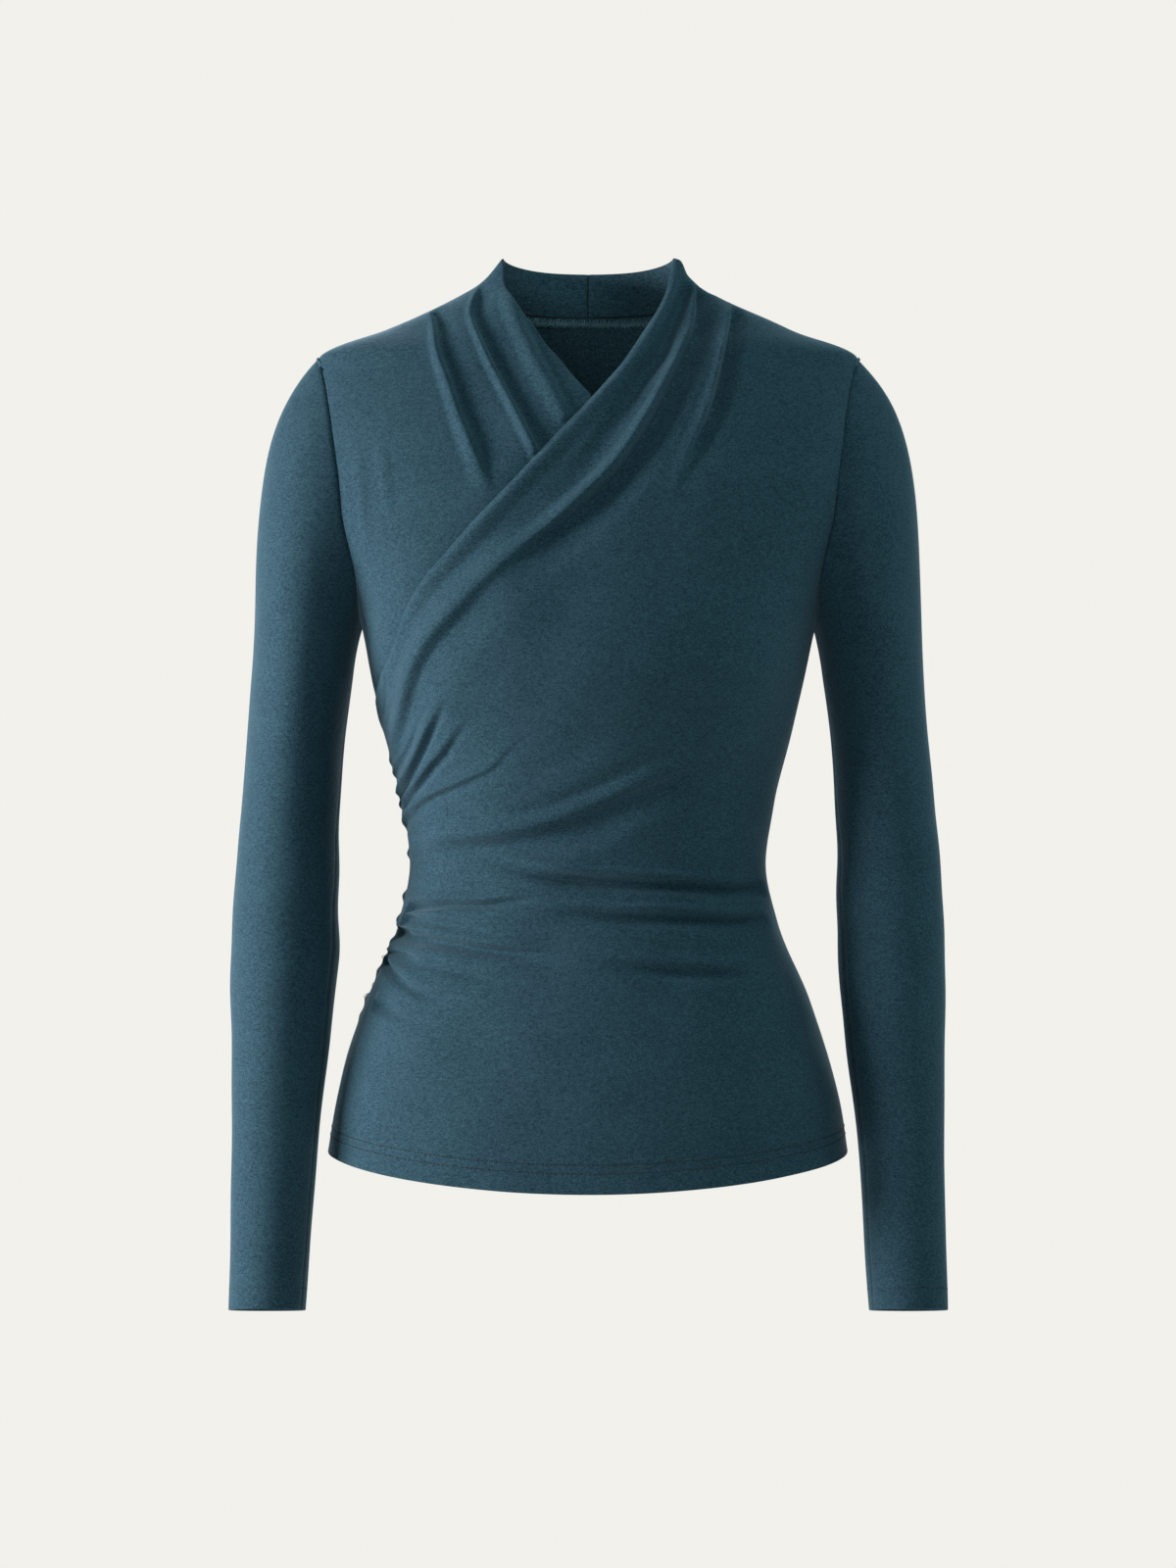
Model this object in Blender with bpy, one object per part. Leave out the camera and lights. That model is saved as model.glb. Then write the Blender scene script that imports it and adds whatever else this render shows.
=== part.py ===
"""Long-sleeved wrap top in stretch jersey, filled out as if worn and held up at the neck.

Five cut pieces, each a thin closed wall of its own: the back, two crossover fronts with half of the
stand collar grown on to each, and two sleeves. The front of the wearer's left lies on top, is pleated
at the shoulder and gathered into the side seam of the wearer's right.

Tables and sizes are in millimetres and become metres when a mesh is made. +X is the wearer's left,
+Y the back, +Z up. The origin lies midway between the points where the shoulder seams meet the collar.
"""

from collections import Counter, namedtuple

import bpy
import numpy as np

MM = 0.001

# Cloth
WALL = 1.2
SEAM_GAP = 0.3
SHARP_ANGLE = 70.0
JERSEY_COLOUR = (0.030, 0.075, 0.110, 1.0)
JERSEY_ROUGHNESS = 0.85

# Levels of the main construction points
COLLAR_TOP = 23.0
NECK_SEAM = 0.0
SHOULDER_POINT = -43.0
UNDERARM = -222.0
HEM = -568.0
UNDER_LAYER_HEM = -330.0
WRAP_END = -280.0
GATHER_END = -488.0

# Level rings round the body, from the hem to the top of the collar. The level is the ring's height at
# the sides, the drops are how far its front and back centres hang from it, and a squareness of 2 is a
# true ellipse. Between the underarm and the shoulder point the sides are cut away for the armholes.
Ring = namedtuple(
    "Ring", "level half_width front_depth back_depth middle_y squareness front_drop back_drop"
)
RINGS = (
    Ring(HEM, 172.0, 115, 116, 0, 2.30, -17, -8),
    Ring(-521, 163.0, 111, 113, 0, 2.30, -12, -5),
    Ring(-469, 147.0, 101, 101, 0, 2.30, -6, -2),
    Ring(-417, 125.5, 91, 86, 0, 2.25, 0, 0),
    Ring(-378, 118.3, 87, 79, 0, 2.20, 0, 0),
    Ring(-339, 123.5, 92, 80, 0, 2.20, 0, 0),
    Ring(-287, 136.0, 107, 88, 0, 2.25, 0, 0),
    Ring(-248, 144.5, 117, 94, 1, 2.30, 0, 0),
    Ring(UNDERARM, 150.5, 114, 98, 2, 2.30, 0, 0),
    Ring(-194, 160.0, 107, 101, 3, 2.30, 0, 0),
    Ring(-145, 183.0, 98, 104, 4, 2.30, 0, 0),
    Ring(-99, 191.0, 84, 98, 5, 2.20, 0, 0),
    Ring(SHOULDER_POINT, 179.0, 54, 80, 7, 2.00, 0, -4),
    Ring(-24, 134.5, 41, 74, 7, 2.00, 0, -7),
    Ring(-3, 88.0, 27, 66, 6, 2.00, 0, -9.5),
    Ring(7, 71.5, 20, 62, 4, 2.00, 0, -7),
    Ring(COLLAR_TOP, 57.5, 8, 60, 2, 2.00, 0, -3),
)

# Armhole: how far, in degrees, its front and back edges lie round from the side
ARMHOLE_FRONT = 33.0
ARMHOLE_BACK = 31.0
# How much straighter its upper half runs than its lower half
ARMHOLE_SCOOP = 0.35

# Free edge of each front from the collar down to the opposite side seam, seen from the front, for a
# front that crosses from +X to -X
OVER_EDGE = (
    (56, 20), (50, -6), (36, -31), (20, -56), (2, -78), (-32, -115),
    (-58, -143), (-85, -172), (-104, -194), (-117, -216), (-128, -244),
)
UNDER_EDGE = (
    (56, 18), (54, 4), (43, -18), (24, -50), (-2, -78), (-32, -115),
    (-85, -172), (-117, -216), (-128, -244),
)

# How the fronts lie on each other at the overlap: the upper one rises, the lower one sinks
LIFT = 0.9
LIFT_WIDTH = 26.0
SINK = 5.2
SINK_START = -15.0
SINK_WIDTH = 42.0
SINK_AT_SEAM = 1.2
FOLDS_FADED = -4.0
FOLD_FADE_WIDTH = 12.0

# Folds. A route gives places seen from the front or the back, (x, z). Left and right are the widths on
# each side of someone walking the route on the outside of the cloth; spread is how much wider the fold
# is at its end, and rise and fall are the shares of the route over which it comes and goes.
Fold = namedtuple("Fold", "name route height left right spread rise fall")
OVER_FOLDS = (
    Fold("edge_valley", ((64, 0), (54, -29), (38, -63), (15, -92), (-18, -120)), -1.8, 9, 9, 1.0, 0.1, 0.5),
    Fold("long_ridge", ((74, -4), (64, -41), (45, -68), (8, -120), (-41, -166), (-81, -206), (-108, -240)),
         4.4, 11, 15, 1.2, 0.1, 0.5),
    Fold("long_hollow", ((72, -30), (60, -62), (31, -113), (-18, -163), (-68, -201), (-101, -237), (-112, -262)),
         -1.8, 16, 12, 1.2, 0.25, 0.4),
    Fold("shoulder_ridge", ((96, -2), (87, -35), (76, -68), (65, -101), (48, -142)), 3.6, 10, 15, 1.3, 0.05, 0.6),
    Fold("shoulder_hollow", ((101, -16), (93, -40), (83, -70), (70, -106), (58, -140)), -1.2, 14, 11, 1.2, 0.2, 0.6),
    Fold("gather_hollow_1", ((-96, -231), (-109, -252), (-117, -283), (-128, -306)), -2.0, 8, 6, 0.8, 0.5, 0.1),
    Fold("gather_ridge_1", ((-90, -254), (-103, -283), (-115, -303), (-127, -316)), 2.2, 7, 6, 0.8, 0.5, 0.1),
    Fold("gather_ridge_2", ((-80, -270), (-97, -300), (-112, -320), (-126, -331)), 2.2, 8, 7, 0.8, 0.5, 0.1),
    Fold("gather_hollow_2", ((-70, -290), (-97, -315), (-112, -329), (-124, -337)), -1.6, 8, 6, 0.7, 0.5, 0.1),
    Fold("rib_ridge", ((-32, -283), (-55, -303), (-78, -318), (-104, -331)), 1.8, 12, 9, 0.6, 0.4, 0.3),
    Fold("rib_hollow", ((-31, -295), (-55, -310), (-80, -328), (-119, -345)), -1.8, 8, 8, 0.6, 0.5, 0.1),
    Fold("waist_ridge_1", ((62, -290), (40, -303), (0, -327), (-50, -348), (-90, -356)), 4.0, 15, 24, 0.8, 0.4, 0.5),
    Fold("waist_hollow_1", ((70, -314), (28, -331), (-27, -353), (-80, -358), (-118, -366)), -2.2, 11, 10, 0.8, 0.4, 0.2),
    Fold("waist_ridge_2", ((104, -388), (65, -383), (29, -378), (-30, -371), (-70, -370)), 2.6, 12, 17, 1.0, 0.3, 0.5),
    Fold("waist_hollow_2", ((100, -411), (60, -408), (-12, -403), (-60, -400), (-118, -404)), -1.8, 13, 12, 0.8, 0.4, 0.2),
    Fold("hip_ridge_1", ((40, -441), (5, -438), (-41, -428), (-85, -419), (-122, -415)), 2.4, 4, 12, 0.7, 0.4, 0.1),
    Fold("hip_hollow_1", ((0, -445), (-41, -434), (-85, -425), (-124, -419)), -1.4, 6, 5, 0.7, 0.4, 0.1),
    Fold("hip_ridge_2", ((88, -436), (60, -433), (28, -432)), 1.6, 8, 10, 1.0, 0.5, 0.5),
    Fold("hip_hollow_2", ((96, -450), (66, -445), (36, -441)), -1.3, 10, 8, 1.0, 0.5, 0.5),
    Fold("hip_ridge_3", ((-60, -472), (-99, -458), (-134, -444)), 1.8, 8, 8, 0.6, 0.5, 0.1),
    Fold("hip_hollow_3", ((-62, -464), (-96, -450), (-134, -440)), -1.6, 6, 7, 0.6, 0.5, 0.1),
    Fold("hip_ridge_4", ((-72, -486), (-108, -470), (-140, -455)), 1.6, 10, 8, 0.6, 0.5, 0.1),
)
UNDER_FOLDS = (
    Fold("collar_ridge", ((-65, 9), (-56, -11), (-42, -41), (-28, -66), (-12, -96)), 1.8, 9, 9, 1.0, 0.2, 0.3),
    Fold("collar_valley", ((-72, 1), (-66, -18), (-51, -51), (-34, -86)), -1.4, 8, 8, 1.0, 0.2, 0.4),
    Fold("pleat_1", ((-86, 2), (-79, -28), (-67, -53), (-50, -85), (-26, -124)), 4.2, 7, 12, 1.1, 0.05, 0.2),
    Fold("pleat_1_foot", ((-77, -6), (-70, -34), (-58, -59), (-41, -87), (-20, -120)), -1.2, 8, 6, 1.0, 0.3, 0.2),
    Fold("pleat_2", ((-106, -8), (-100, -40), (-94, -63), (-84, -92), (-60, -152)), 4.2, 7, 13, 1.1, 0.05, 0.2),
    Fold("pleat_2_foot", ((-98, -14), (-94, -41), (-82, -75), (-66, -115), (-52, -150)), -1.4, 8, 6, 1.0, 0.2, 0.2),
    Fold("arm_drag_1", ((-152, -96), (-148, -130), (-139, -185)), 1.2, 8, 8, 1.0, 0.4, 0.5),
    Fold("arm_drag_2", ((-136, -96), (-131, -130), (-124, -172)), 1.0, 8, 8, 1.0, 0.4, 0.5),
)
BACK_FOLDS = (
    Fold("waist_hollow_1", ((-112, -352), (-50, -362), (40, -362), (108, -350)), -2.4, 13, 11, 1.0, 0.4, 0.4),
    Fold("waist_ridge_1", ((-100, -371), (-30, -380), (60, -378), (112, -366)), 2.0, 10, 12, 1.0, 0.4, 0.4),
    Fold("waist_hollow_2", ((-114, -392), (-60, -397), (20, -395), (90, -388)), -1.8, 9, 11, 1.0, 0.4, 0.4),
    Fold("shoulder_blade_drag_1", ((-150, -150), (-118, -190), (-80, -214)), 1.8, 12, 9, 1.2, 0.3, 0.6),
    Fold("shoulder_blade_drag_2", ((150, -156), (116, -192), (84, -222)), 1.8, 9, 12, 1.2, 0.3, 0.6),
)

# Gathers pulled into the side seam of the wearer's right: the height of each on the seam, how far it
# reaches round the front, how much its inner end rises, and how high and wide it stands
Gather = namedtuple("Gather", "level reach rise height width")
GATHERS = (
    Gather(-341, 44, 26, 2.2, 5.0),
    Gather(-352, 40, 12, 2.4, 5.5),
    Gather(-363, 24, 5, 1.3, 5.0),
    Gather(-373, 38, 3, 2.3, 5.0),
    Gather(-386, 28, -2, 1.4, 5.0),
    Gather(-400, 42, -3, 2.2, 5.5),
    Gather(-416, 50, -8, 2.0, 5.0),
    Gather(-431, 30, -8, 1.5, 5.0),
    Gather(-441, 26, -9, 1.5, 4.5),
    Gather(-450, 44, -13, 1.7, 5.0),
    Gather(-468, 30, -12, 1.9, 4.5),
    Gather(-479, 20, -8, 1.0, 4.5),
)
GATHER_OVERRUN = 7.0

# Sleeve sections from the upper arm to the cuff, for the sleeve at +X. The forearm leans forward.
SleeveRing = namedtuple("SleeveRing", "level middle_x middle_y half_width half_depth lean")
SLEEVE_RINGS = (
    SleeveRing(-250, 189.0, 3, 33.5, 52.0, 0.0),
    SleeveRing(-300, 193.7, 3, 31.9, 48.0, 0.5),
    SleeveRing(-340, 196.6, 1, 32.4, 45.0, 2.0),
    SleeveRing(-391, 199.5, -4, 34.4, 42.5, 5.0),
    SleeveRing(-430, 200.2, -9.5, 35.4, 41.0, 6.5),
    SleeveRing(-455, 201.2, -13.5, 34.7, 40.0, 7.5),
    SleeveRing(-494, 202.0, -19.5, 32.1, 37.5, 8.5),
    SleeveRing(-532, 203.6, -25.0, 29.9, 35.0, 9.0),
    SleeveRing(-570, 205.1, -32.0, 28.1, 32.5, 9.5),
    SleeveRing(-608, 206.6, -38.0, 26.9, 31.0, 9.5),
    SleeveRing(-667.3, 208.4, -49.0, 25.3, 29.5, 9.5),
)
# Cap of the sleeve: how the cloth leaves the armhole at its top and at the underarm, and how far it
# keeps that direction, as shares of the way down to the first ring
CAP_TOP_WAY = (0.70, 0.0, -0.71)
CAP_UNDERARM_WAY = (0.14, 0.0, -0.99)
CAP_START_PULL = 0.29
CAP_END_PULL = 0.43
CAP_SIDE_WAY = (0.50, 0.22, 0.25)

# How finely each wall is divided
ARMHOLE_STEPS = 11
COLLAR_ROWS = 5
SHOULDER_ROWS = 15
COLLAR_COLUMNS = 9
SIDE_ROWS_OVER = 29
SIDE_ROWS_UNDER = 5
OVER_COLUMNS = 26
UNDER_COLUMNS = 22
BACK_SIDE_ROWS = 17
BACK_SHOULDER_ROWS = 6
BACK_COLUMNS = 20
BACK_EVEN_SHARE = 0.22
SLEEVE_CAP_SHARES = (0.0, 0.07, 0.17, 0.30, 0.45, 0.60, 0.75, 0.88)
SLEEVE_ARM_ROWS = 13
LINE_POINTS = 32
LAYOUT_PASSES = 400
LAYOUT_PACE = 0.9
LAYOUT_FINENESS = 3
ROLLING_PASSES = 40
END_CLOSENESS = 0.45


def smooth_step(share):
    share = np.clip(share, 0.0, 1.0)
    return share * share * (3.0 - 2.0 * share)


def read_table(rows, at):
    """Each column of a table at the given levels, on a smooth curve that never overshoots its rows."""
    table = np.array(sorted(rows), float)
    level, values = table[:, 0], table[:, 1:]
    at = np.clip(np.asarray(at, float), level[0], level[-1])
    step = np.diff(level)[:, None]
    slope = np.diff(values, axis=0) / step
    before, after = slope[:-1], slope[1:]
    near, far = 2 * step[1:] + step[:-1], step[1:] + 2 * step[:-1]
    turning = before * after <= 0
    safe_before = np.where(turning, 1.0, before)
    safe_after = np.where(turning, 1.0, after)
    inner = np.where(turning, 0.0, (near + far) / (near / safe_before + far / safe_after))
    tangent = np.concatenate([slope[:1], inner, slope[-1:]])
    row = np.clip(np.searchsorted(level, at, side="right") - 1, 0, len(level) - 2)
    t = ((at - level[row]) / step[row, 0])[..., None]
    width = step[row]
    value = (
        (2 * t**3 - 3 * t**2 + 1) * values[row]
        + (t**3 - 2 * t**2 + t) * width * tangent[row]
        + (3 * t**2 - 2 * t**3) * values[row + 1]
        + (t**3 - t**2) * width * tangent[row + 1]
    )
    return np.moveaxis(value, -1, 0)


def torso(theta, level):
    """Point of the body's form. Theta is 0 at the centre front and +90 degrees at the wearer's left."""
    half_width, front, back, middle, square, front_drop, back_drop = read_table(RINGS, level)
    across, along = np.sin(theta), np.cos(theta)
    reach = (np.abs(across) ** square + np.abs(along) ** square) ** (-1.0 / square)
    is_front = along > 0
    x = half_width * reach * across
    y = middle - np.where(is_front, front, back) * reach * along
    z = level + np.where(is_front, front_drop * along**2, back_drop * (1 - across**4))
    return np.stack([x, y, z], axis=-1)


def unit(vector):
    return vector / np.linalg.norm(vector, axis=-1, keepdims=True)


def outward(surface, theta, level, angle_step=0.004, level_step=0.4):
    """Unit normal of a surface of theta and level, pointing out of the body."""
    round_way = surface(theta + angle_step, level) - surface(theta - angle_step, level)
    top = np.minimum(level + level_step, COLLAR_TOP)
    up_way = surface(theta, top) - surface(theta, top - 2 * level_step)
    return unit(np.cross(round_way, up_way))


def place_on_torso(x, z, at_back=False):
    """Theta and level of the point of the form that is seen at x, z from the front or the back."""
    level = float(z)
    for _ in range(8):
        half_width, _, _, _, square, front_drop, back_drop = read_table(RINGS, level)
        share = min((abs(x) / half_width) ** square, 0.99999)
        theta = np.arctan((share / (1 - share)) ** (1.0 / square))
        drop = back_drop * (1 - np.sin(theta) ** 4) if at_back else front_drop * np.cos(theta) ** 2
        level = z - drop
    theta *= np.sign(x) or 1.0
    return (np.pi - theta if at_back else theta), level


def through(points, count):
    """A smooth line through a few points, evenly divided."""
    points = np.asarray(points, float)
    ends = np.concatenate([2 * points[:1] - points[1:2], points, 2 * points[-1:] - points[-2:-1]])
    stretch = len(points) - 1
    at = np.linspace(0, stretch, count * 4)
    row = np.minimum(at.astype(int), stretch - 1)
    t = (at - row)[:, None]
    a, b, c, d = (ends[row + k] for k in range(4))
    dense = 0.5 * (2 * b + (c - a) * t + (2 * a - 5 * b + 4 * c - d) * t**2 + (3 * b - a - 3 * c + d) * t**3)
    length = np.concatenate([[0], np.cumsum(np.linalg.norm(np.diff(dense, axis=0), axis=1))])
    even = np.linspace(0, length[-1], count)
    return np.stack([np.interp(even, length, dense[:, k]) for k in range(dense.shape[1])], axis=1)


def girth(level):
    """Mean radius of the front half of a ring, and how much longer its middle is than its sides."""
    half_width, front = read_table(RINGS, level)[:2]
    radius = np.sqrt((half_width**2 + front**2) / 2)
    return radius, (half_width**2 - front**2) / (8 * radius)


def unrolled(places):
    """Theta and level as distances on the unrolled cloth: round from the centre front, and up."""
    radius, bow = girth(places[..., 1])
    return np.stack([radius * places[..., 0] + bow * np.sin(2 * places[..., 0]), places[..., 1]], axis=-1)


def rolled(flat):
    radius, bow = girth(flat[..., 1])
    theta = flat[..., 0] / radius
    for _ in range(ROLLING_PASSES):
        theta = (flat[..., 0] - bow * np.sin(2 * theta)) / radius
    return np.stack([theta, flat[..., 1]], axis=-1)


def close_at_ends(count):
    """Shares from 0 to 1 that lie closer together near both ends."""
    even = np.linspace(0, 1, count + 1)
    return even - END_CLOSENESS * np.sin(2 * np.pi * even) / (2 * np.pi)


def respaced(grid, shares):
    """Each row of a layout divided again, at the given shares of its own length."""
    rows = []
    for row in grid:
        length = np.concatenate([[0], np.cumsum(np.linalg.norm(np.diff(row, axis=0), axis=1))])
        rows.append([np.interp(shares * length[-1], length, row[:, k]) for k in (0, 1)])
    return np.moveaxis(np.array(rows), 1, 2)


def even_out(grid, passes=LAYOUT_PASSES):
    """Moves the inner points of a layout until its rows and columns spread evenly and never cross."""
    for _ in range(passes):
        down = (grid[2:, 1:-1] - grid[:-2, 1:-1]) / 2
        across = (grid[1:-1, 2:] - grid[1:-1, :-2]) / 2
        across2, down2 = (across**2).sum(-1, keepdims=True), (down**2).sum(-1, keepdims=True)
        mixed = (across * down).sum(-1, keepdims=True)
        twist = (grid[2:, 2:] - grid[2:, :-2] - grid[:-2, 2:] + grid[:-2, :-2]) / 2
        middle = (
            across2 * (grid[2:, 1:-1] + grid[:-2, 1:-1])
            + down2 * (grid[1:-1, 2:] + grid[1:-1, :-2])
            - mixed * twist
        ) / (2 * (across2 + down2))
        grid[1:-1, 1:-1] += LAYOUT_PACE * (middle - grid[1:-1, 1:-1])
    return grid


def line_on_torso(places, count=LINE_POINTS):
    return through(torso(*np.array(places).T), count)


def nearest(line, points):
    """Offset from the nearest place on a line, that place's share of its length, and its direction."""
    start, way = line[:-1], np.diff(line, axis=0)
    length = np.linalg.norm(way, axis=1)
    offset = points[:, None, :] - start
    t = np.clip((offset * way).sum(-1) / length**2, 0, 1)
    offset = offset - t[..., None] * way
    best = (offset**2).sum(-1).argmin(axis=1)
    pick = np.arange(len(points))
    travelled = np.concatenate([[0], np.cumsum(length)])
    share = (travelled[best] + t[pick, best] * length[best]) / travelled[-1]
    return offset[pick, best], share, way[best] / length[best, None]


def signed_distance(line, points, normals):
    """Distance to a line, positive on the left of someone walking it on the outside of the cloth."""
    offset, share, way = nearest(line, points)
    side = (np.cross(normals, way) * offset).sum(-1)
    return np.copysign(np.linalg.norm(offset, axis=-1), side), share


def fold_height(line, fold, points, normals):
    distance, share = signed_distance(line, points, normals)
    width = np.where(distance > 0, fold.left, fold.right) * (1 + (fold.spread - 1) * share)
    crest = np.clip(1 - (distance / width) ** 2, 0, None) ** 2
    return fold.height * crest * smooth_step(share / fold.rise) * smooth_step((1 - share) / fold.fall)


def fold_lines(folds, at_back=False):
    return [
        (line_on_torso([place_on_torso(x, z, at_back) for x, z in fold.route]), fold) for fold in folds
    ]


def gather_lines():
    """Each gather as a fold that starts just behind the side seam and ends on the front."""
    lines = []
    for gather in GATHERS:
        radius = read_table(RINGS, gather.level)[1]
        places = [
            (-np.pi / 2 + reach / radius, gather.level + rise)
            for reach, rise in (
                (-GATHER_OVERRUN, -0.2 * gather.rise),
                (0.0, 0.0),
                (0.5 * gather.reach, 0.42 * gather.rise),
                (gather.reach, gather.rise),
            )
        ]
        fold = Fold("gather", None, gather.height, gather.width, gather.width, 1.5, 0.22, 0.7)
        lines.append((line_on_torso(places), fold))
    return lines


def edge_places(edge, mirror=1):
    """Free edge of a front as theta and level, from the top of the collar to the opposite side seam."""
    start, end = (np.pi / 2, COLLAR_TOP), (-np.pi / 2, WRAP_END)
    inner = [place_on_torso(x, z) for x, z in edge]
    return [(mirror * theta, level) for theta, level in (start, *inner, end)]


OVER_EDGE_LINE = line_on_torso(edge_places(OVER_EDGE), 80)
OVER_LINES = fold_lines(OVER_FOLDS) + gather_lines()
UNDER_LINES = fold_lines(UNDER_FOLDS)
BACK_LINES = fold_lines(BACK_FOLDS, at_back=True) + gather_lines()


def relief(lines, points, normals):
    flat, flat_normals = points.reshape(-1, 3), normals.reshape(-1, 3)
    height = sum(fold_height(line, fold, flat, flat_normals) for line, fold in lines)
    return height.reshape(points.shape[:-1])


def overlap_distance(points, normals):
    """Distance in from the free edge of the upper front, positive under that front."""
    flat = signed_distance(OVER_EDGE_LINE, points.reshape(-1, 3), normals.reshape(-1, 3))[0]
    return flat.reshape(points.shape[:-1])


def over_offset(points, normals):
    """The upper front rises a little along its edge where it lies on the lower one."""
    distance = overlap_distance(points, normals)
    on_lower_front = smooth_step((28 - points[..., 0]) / 24) * smooth_step((points[..., 0] + 138) / 14)
    lift = LIFT * on_lower_front * smooth_step(1 - distance / LIFT_WIDTH)
    return relief(OVER_LINES, points, normals) + lift


def under_offset(points, normals):
    """The lower front sinks, and its folds fade, where the upper one covers it."""
    distance = overlap_distance(points, normals)
    below_tip = smooth_step((-40 - points[..., 2]) / 24)
    seam = smooth_step((-118 - points[..., 0]) / 16)
    sink = SINK * smooth_step((distance - SINK_START) / SINK_WIDTH)
    sink += SINK_AT_SEAM * seam * smooth_step((distance - SINK_START) / -SINK_START)
    shown = smooth_step((FOLDS_FADED - distance) / FOLD_FADE_WIDTH)
    return relief(UNDER_LINES, points, normals) * shown - sink * below_tip


def back_offset(points, normals):
    return relief(BACK_LINES, points, normals)


def cloth(offset):
    """Outer surface of a panel: the form with the panel's own folds and layering on it."""

    def surface(theta, level):
        base, normals = torso(theta, level), outward(torso, theta, level)
        return base + normals * offset(base, normals)[..., None]

    return surface


def armhole_place(turn, side=1):
    """Theta and level on the armhole's edge. Turn is 0 at the shoulder, 90 degrees at the front."""
    middle, half_height = (SHOULDER_POINT + UNDERARM) / 2, (SHOULDER_POINT - UNDERARM) / 2
    depth = np.where(np.sin(turn) > 0, ARMHOLE_FRONT, ARMHOLE_BACK)
    theta = np.radians(90.0 - depth * np.sin(turn) * (1 - ARMHOLE_SCOOP * np.cos(turn)))
    return side * theta, middle + half_height * np.cos(turn)


def sleeve_ring(turn, level):
    """Point of the arm below the cap, at +X. Turn is 0 on the outer side and 90 degrees at the front."""
    middle_x, middle_y, half_width, half_depth, lean = read_table(SLEEVE_RINGS, level)
    forward = half_depth * np.sin(turn)
    lean = np.radians(lean)
    x = middle_x + half_width * np.cos(turn)
    y = middle_y - forward * np.cos(lean)
    z = level + forward * np.sin(lean)
    return np.stack([x, y, z], axis=-1)


def sleeve(turn, share):
    """Point of the sleeve at +X: share runs from 0 at the armhole, over the cap to 1, to 2 at the cuff."""
    turn, share = np.broadcast_arrays(np.asarray(turn, float), np.asarray(share, float))
    first, last = SLEEVE_RINGS[0].level, SLEEVE_RINGS[-1].level
    start = torso(*armhole_place(turn))
    end = sleeve_ring(turn, np.full(turn.shape, float(first)))
    end_way = unit(end - sleeve_ring(turn, np.full(turn.shape, first - 8.0)))
    top_share = ((1 + np.cos(turn)) / 2)[..., None]
    start_way = top_share * np.array(CAP_TOP_WAY) + (1 - top_share) * np.array(CAP_UNDERARM_WAY)
    outer_way, bulge, level_way = CAP_SIDE_WAY
    sideways = np.abs(np.sin(turn))
    start_way = start_way + np.stack(
        [outer_way * sideways, -bulge * np.sin(turn), level_way * sideways], axis=-1
    )
    span = np.linalg.norm(end - start, axis=-1, keepdims=True)
    near_start = start + unit(start_way) * CAP_START_PULL * span
    near_end = end + end_way * CAP_END_PULL * span
    t = np.clip(share, 0, 1)[..., None]
    cap = (
        (1 - t) ** 3 * start + 3 * (1 - t) ** 2 * t * near_start + 3 * (1 - t) * t**2 * near_end + t**3 * end
    )
    arm = sleeve_ring(turn, first + (last - first) * np.clip(share - 1, 0, 1))
    return np.where((share < 1)[..., None], cap, arm)


def sleeve_outward(turn, share, step=0.004):
    round_way = sleeve(turn + step, share) - sleeve(turn - step, share)
    low = np.maximum(np.asarray(share, float) - step, 0.0)
    down_way = sleeve(turn, low + 2 * step) - sleeve(turn, low)
    return unit(np.cross(round_way, down_way))


def armhole_seam(turn):
    """The armhole at +X: its line, the way across it into the sleeve, and the shared inward wall."""
    theta, level = armhole_place(turn)
    line = torso(theta, level)
    torso_normal = outward(torso, theta, level)
    sleeve_normal = sleeve_outward(turn, np.zeros_like(turn))
    along = unit(torso(*armhole_place(turn + 0.01)) - torso(*armhole_place(turn - 0.01)))
    into_sleeve = unit(np.cross(along, sleeve_normal))
    into_sleeve *= np.sign((into_sleeve * (sleeve(turn, 0.05) - line)).sum(-1, keepdims=True))
    hole_middle = torso(*armhole_place(np.radians([0, 180]))).mean(axis=0)
    into_torso = unit(np.cross(along, torso_normal))
    into_torso *= np.sign((into_torso * (line - hole_middle)).sum(-1, keepdims=True))
    across = unit(into_sleeve - into_torso)
    mitre = unit(torso_normal + sleeve_normal)
    wall = mitre * WALL / np.maximum((mitre * torso_normal).sum(-1, keepdims=True), 0.75)
    return line, across, wall


def wall_object(name, outer, inner, quads):
    """A closed wall between an outer and an inner skin that share their layout of four-sided faces."""
    count = len(outer)
    faces = [tuple(quad) for quad in quads]
    faces += [tuple(count + corner for corner in reversed(quad)) for quad in quads]
    sides = Counter()
    for quad in quads:
        for first, second in zip(quad, (*quad[1:], quad[0])):
            sides[(first, second)] += 1
    for first, second in sides:
        if (second, first) not in sides:
            faces.append((second, first, count + first, count + second))
    mesh = bpy.data.meshes.new(name)
    mesh.from_pydata((np.concatenate([outer, inner]) * MM).tolist(), [], faces)
    mesh.validate()
    mesh.shade_smooth()
    mesh.set_sharp_from_angle(angle=np.radians(SHARP_ANGLE))
    material = bpy.data.materials.new(name + "_jersey")
    material.use_nodes = True
    shader = material.node_tree.nodes["Principled BSDF"]
    shader.inputs["Base Color"].default_value = JERSEY_COLOUR
    shader.inputs["Roughness"].default_value = JERSEY_ROUGHNESS
    shader.inputs["Metallic"].default_value = 0.0
    mesh.materials.append(material)
    wall = bpy.data.objects.new(name, mesh)
    bpy.context.collection.objects.link(wall)
    return wall


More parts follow.
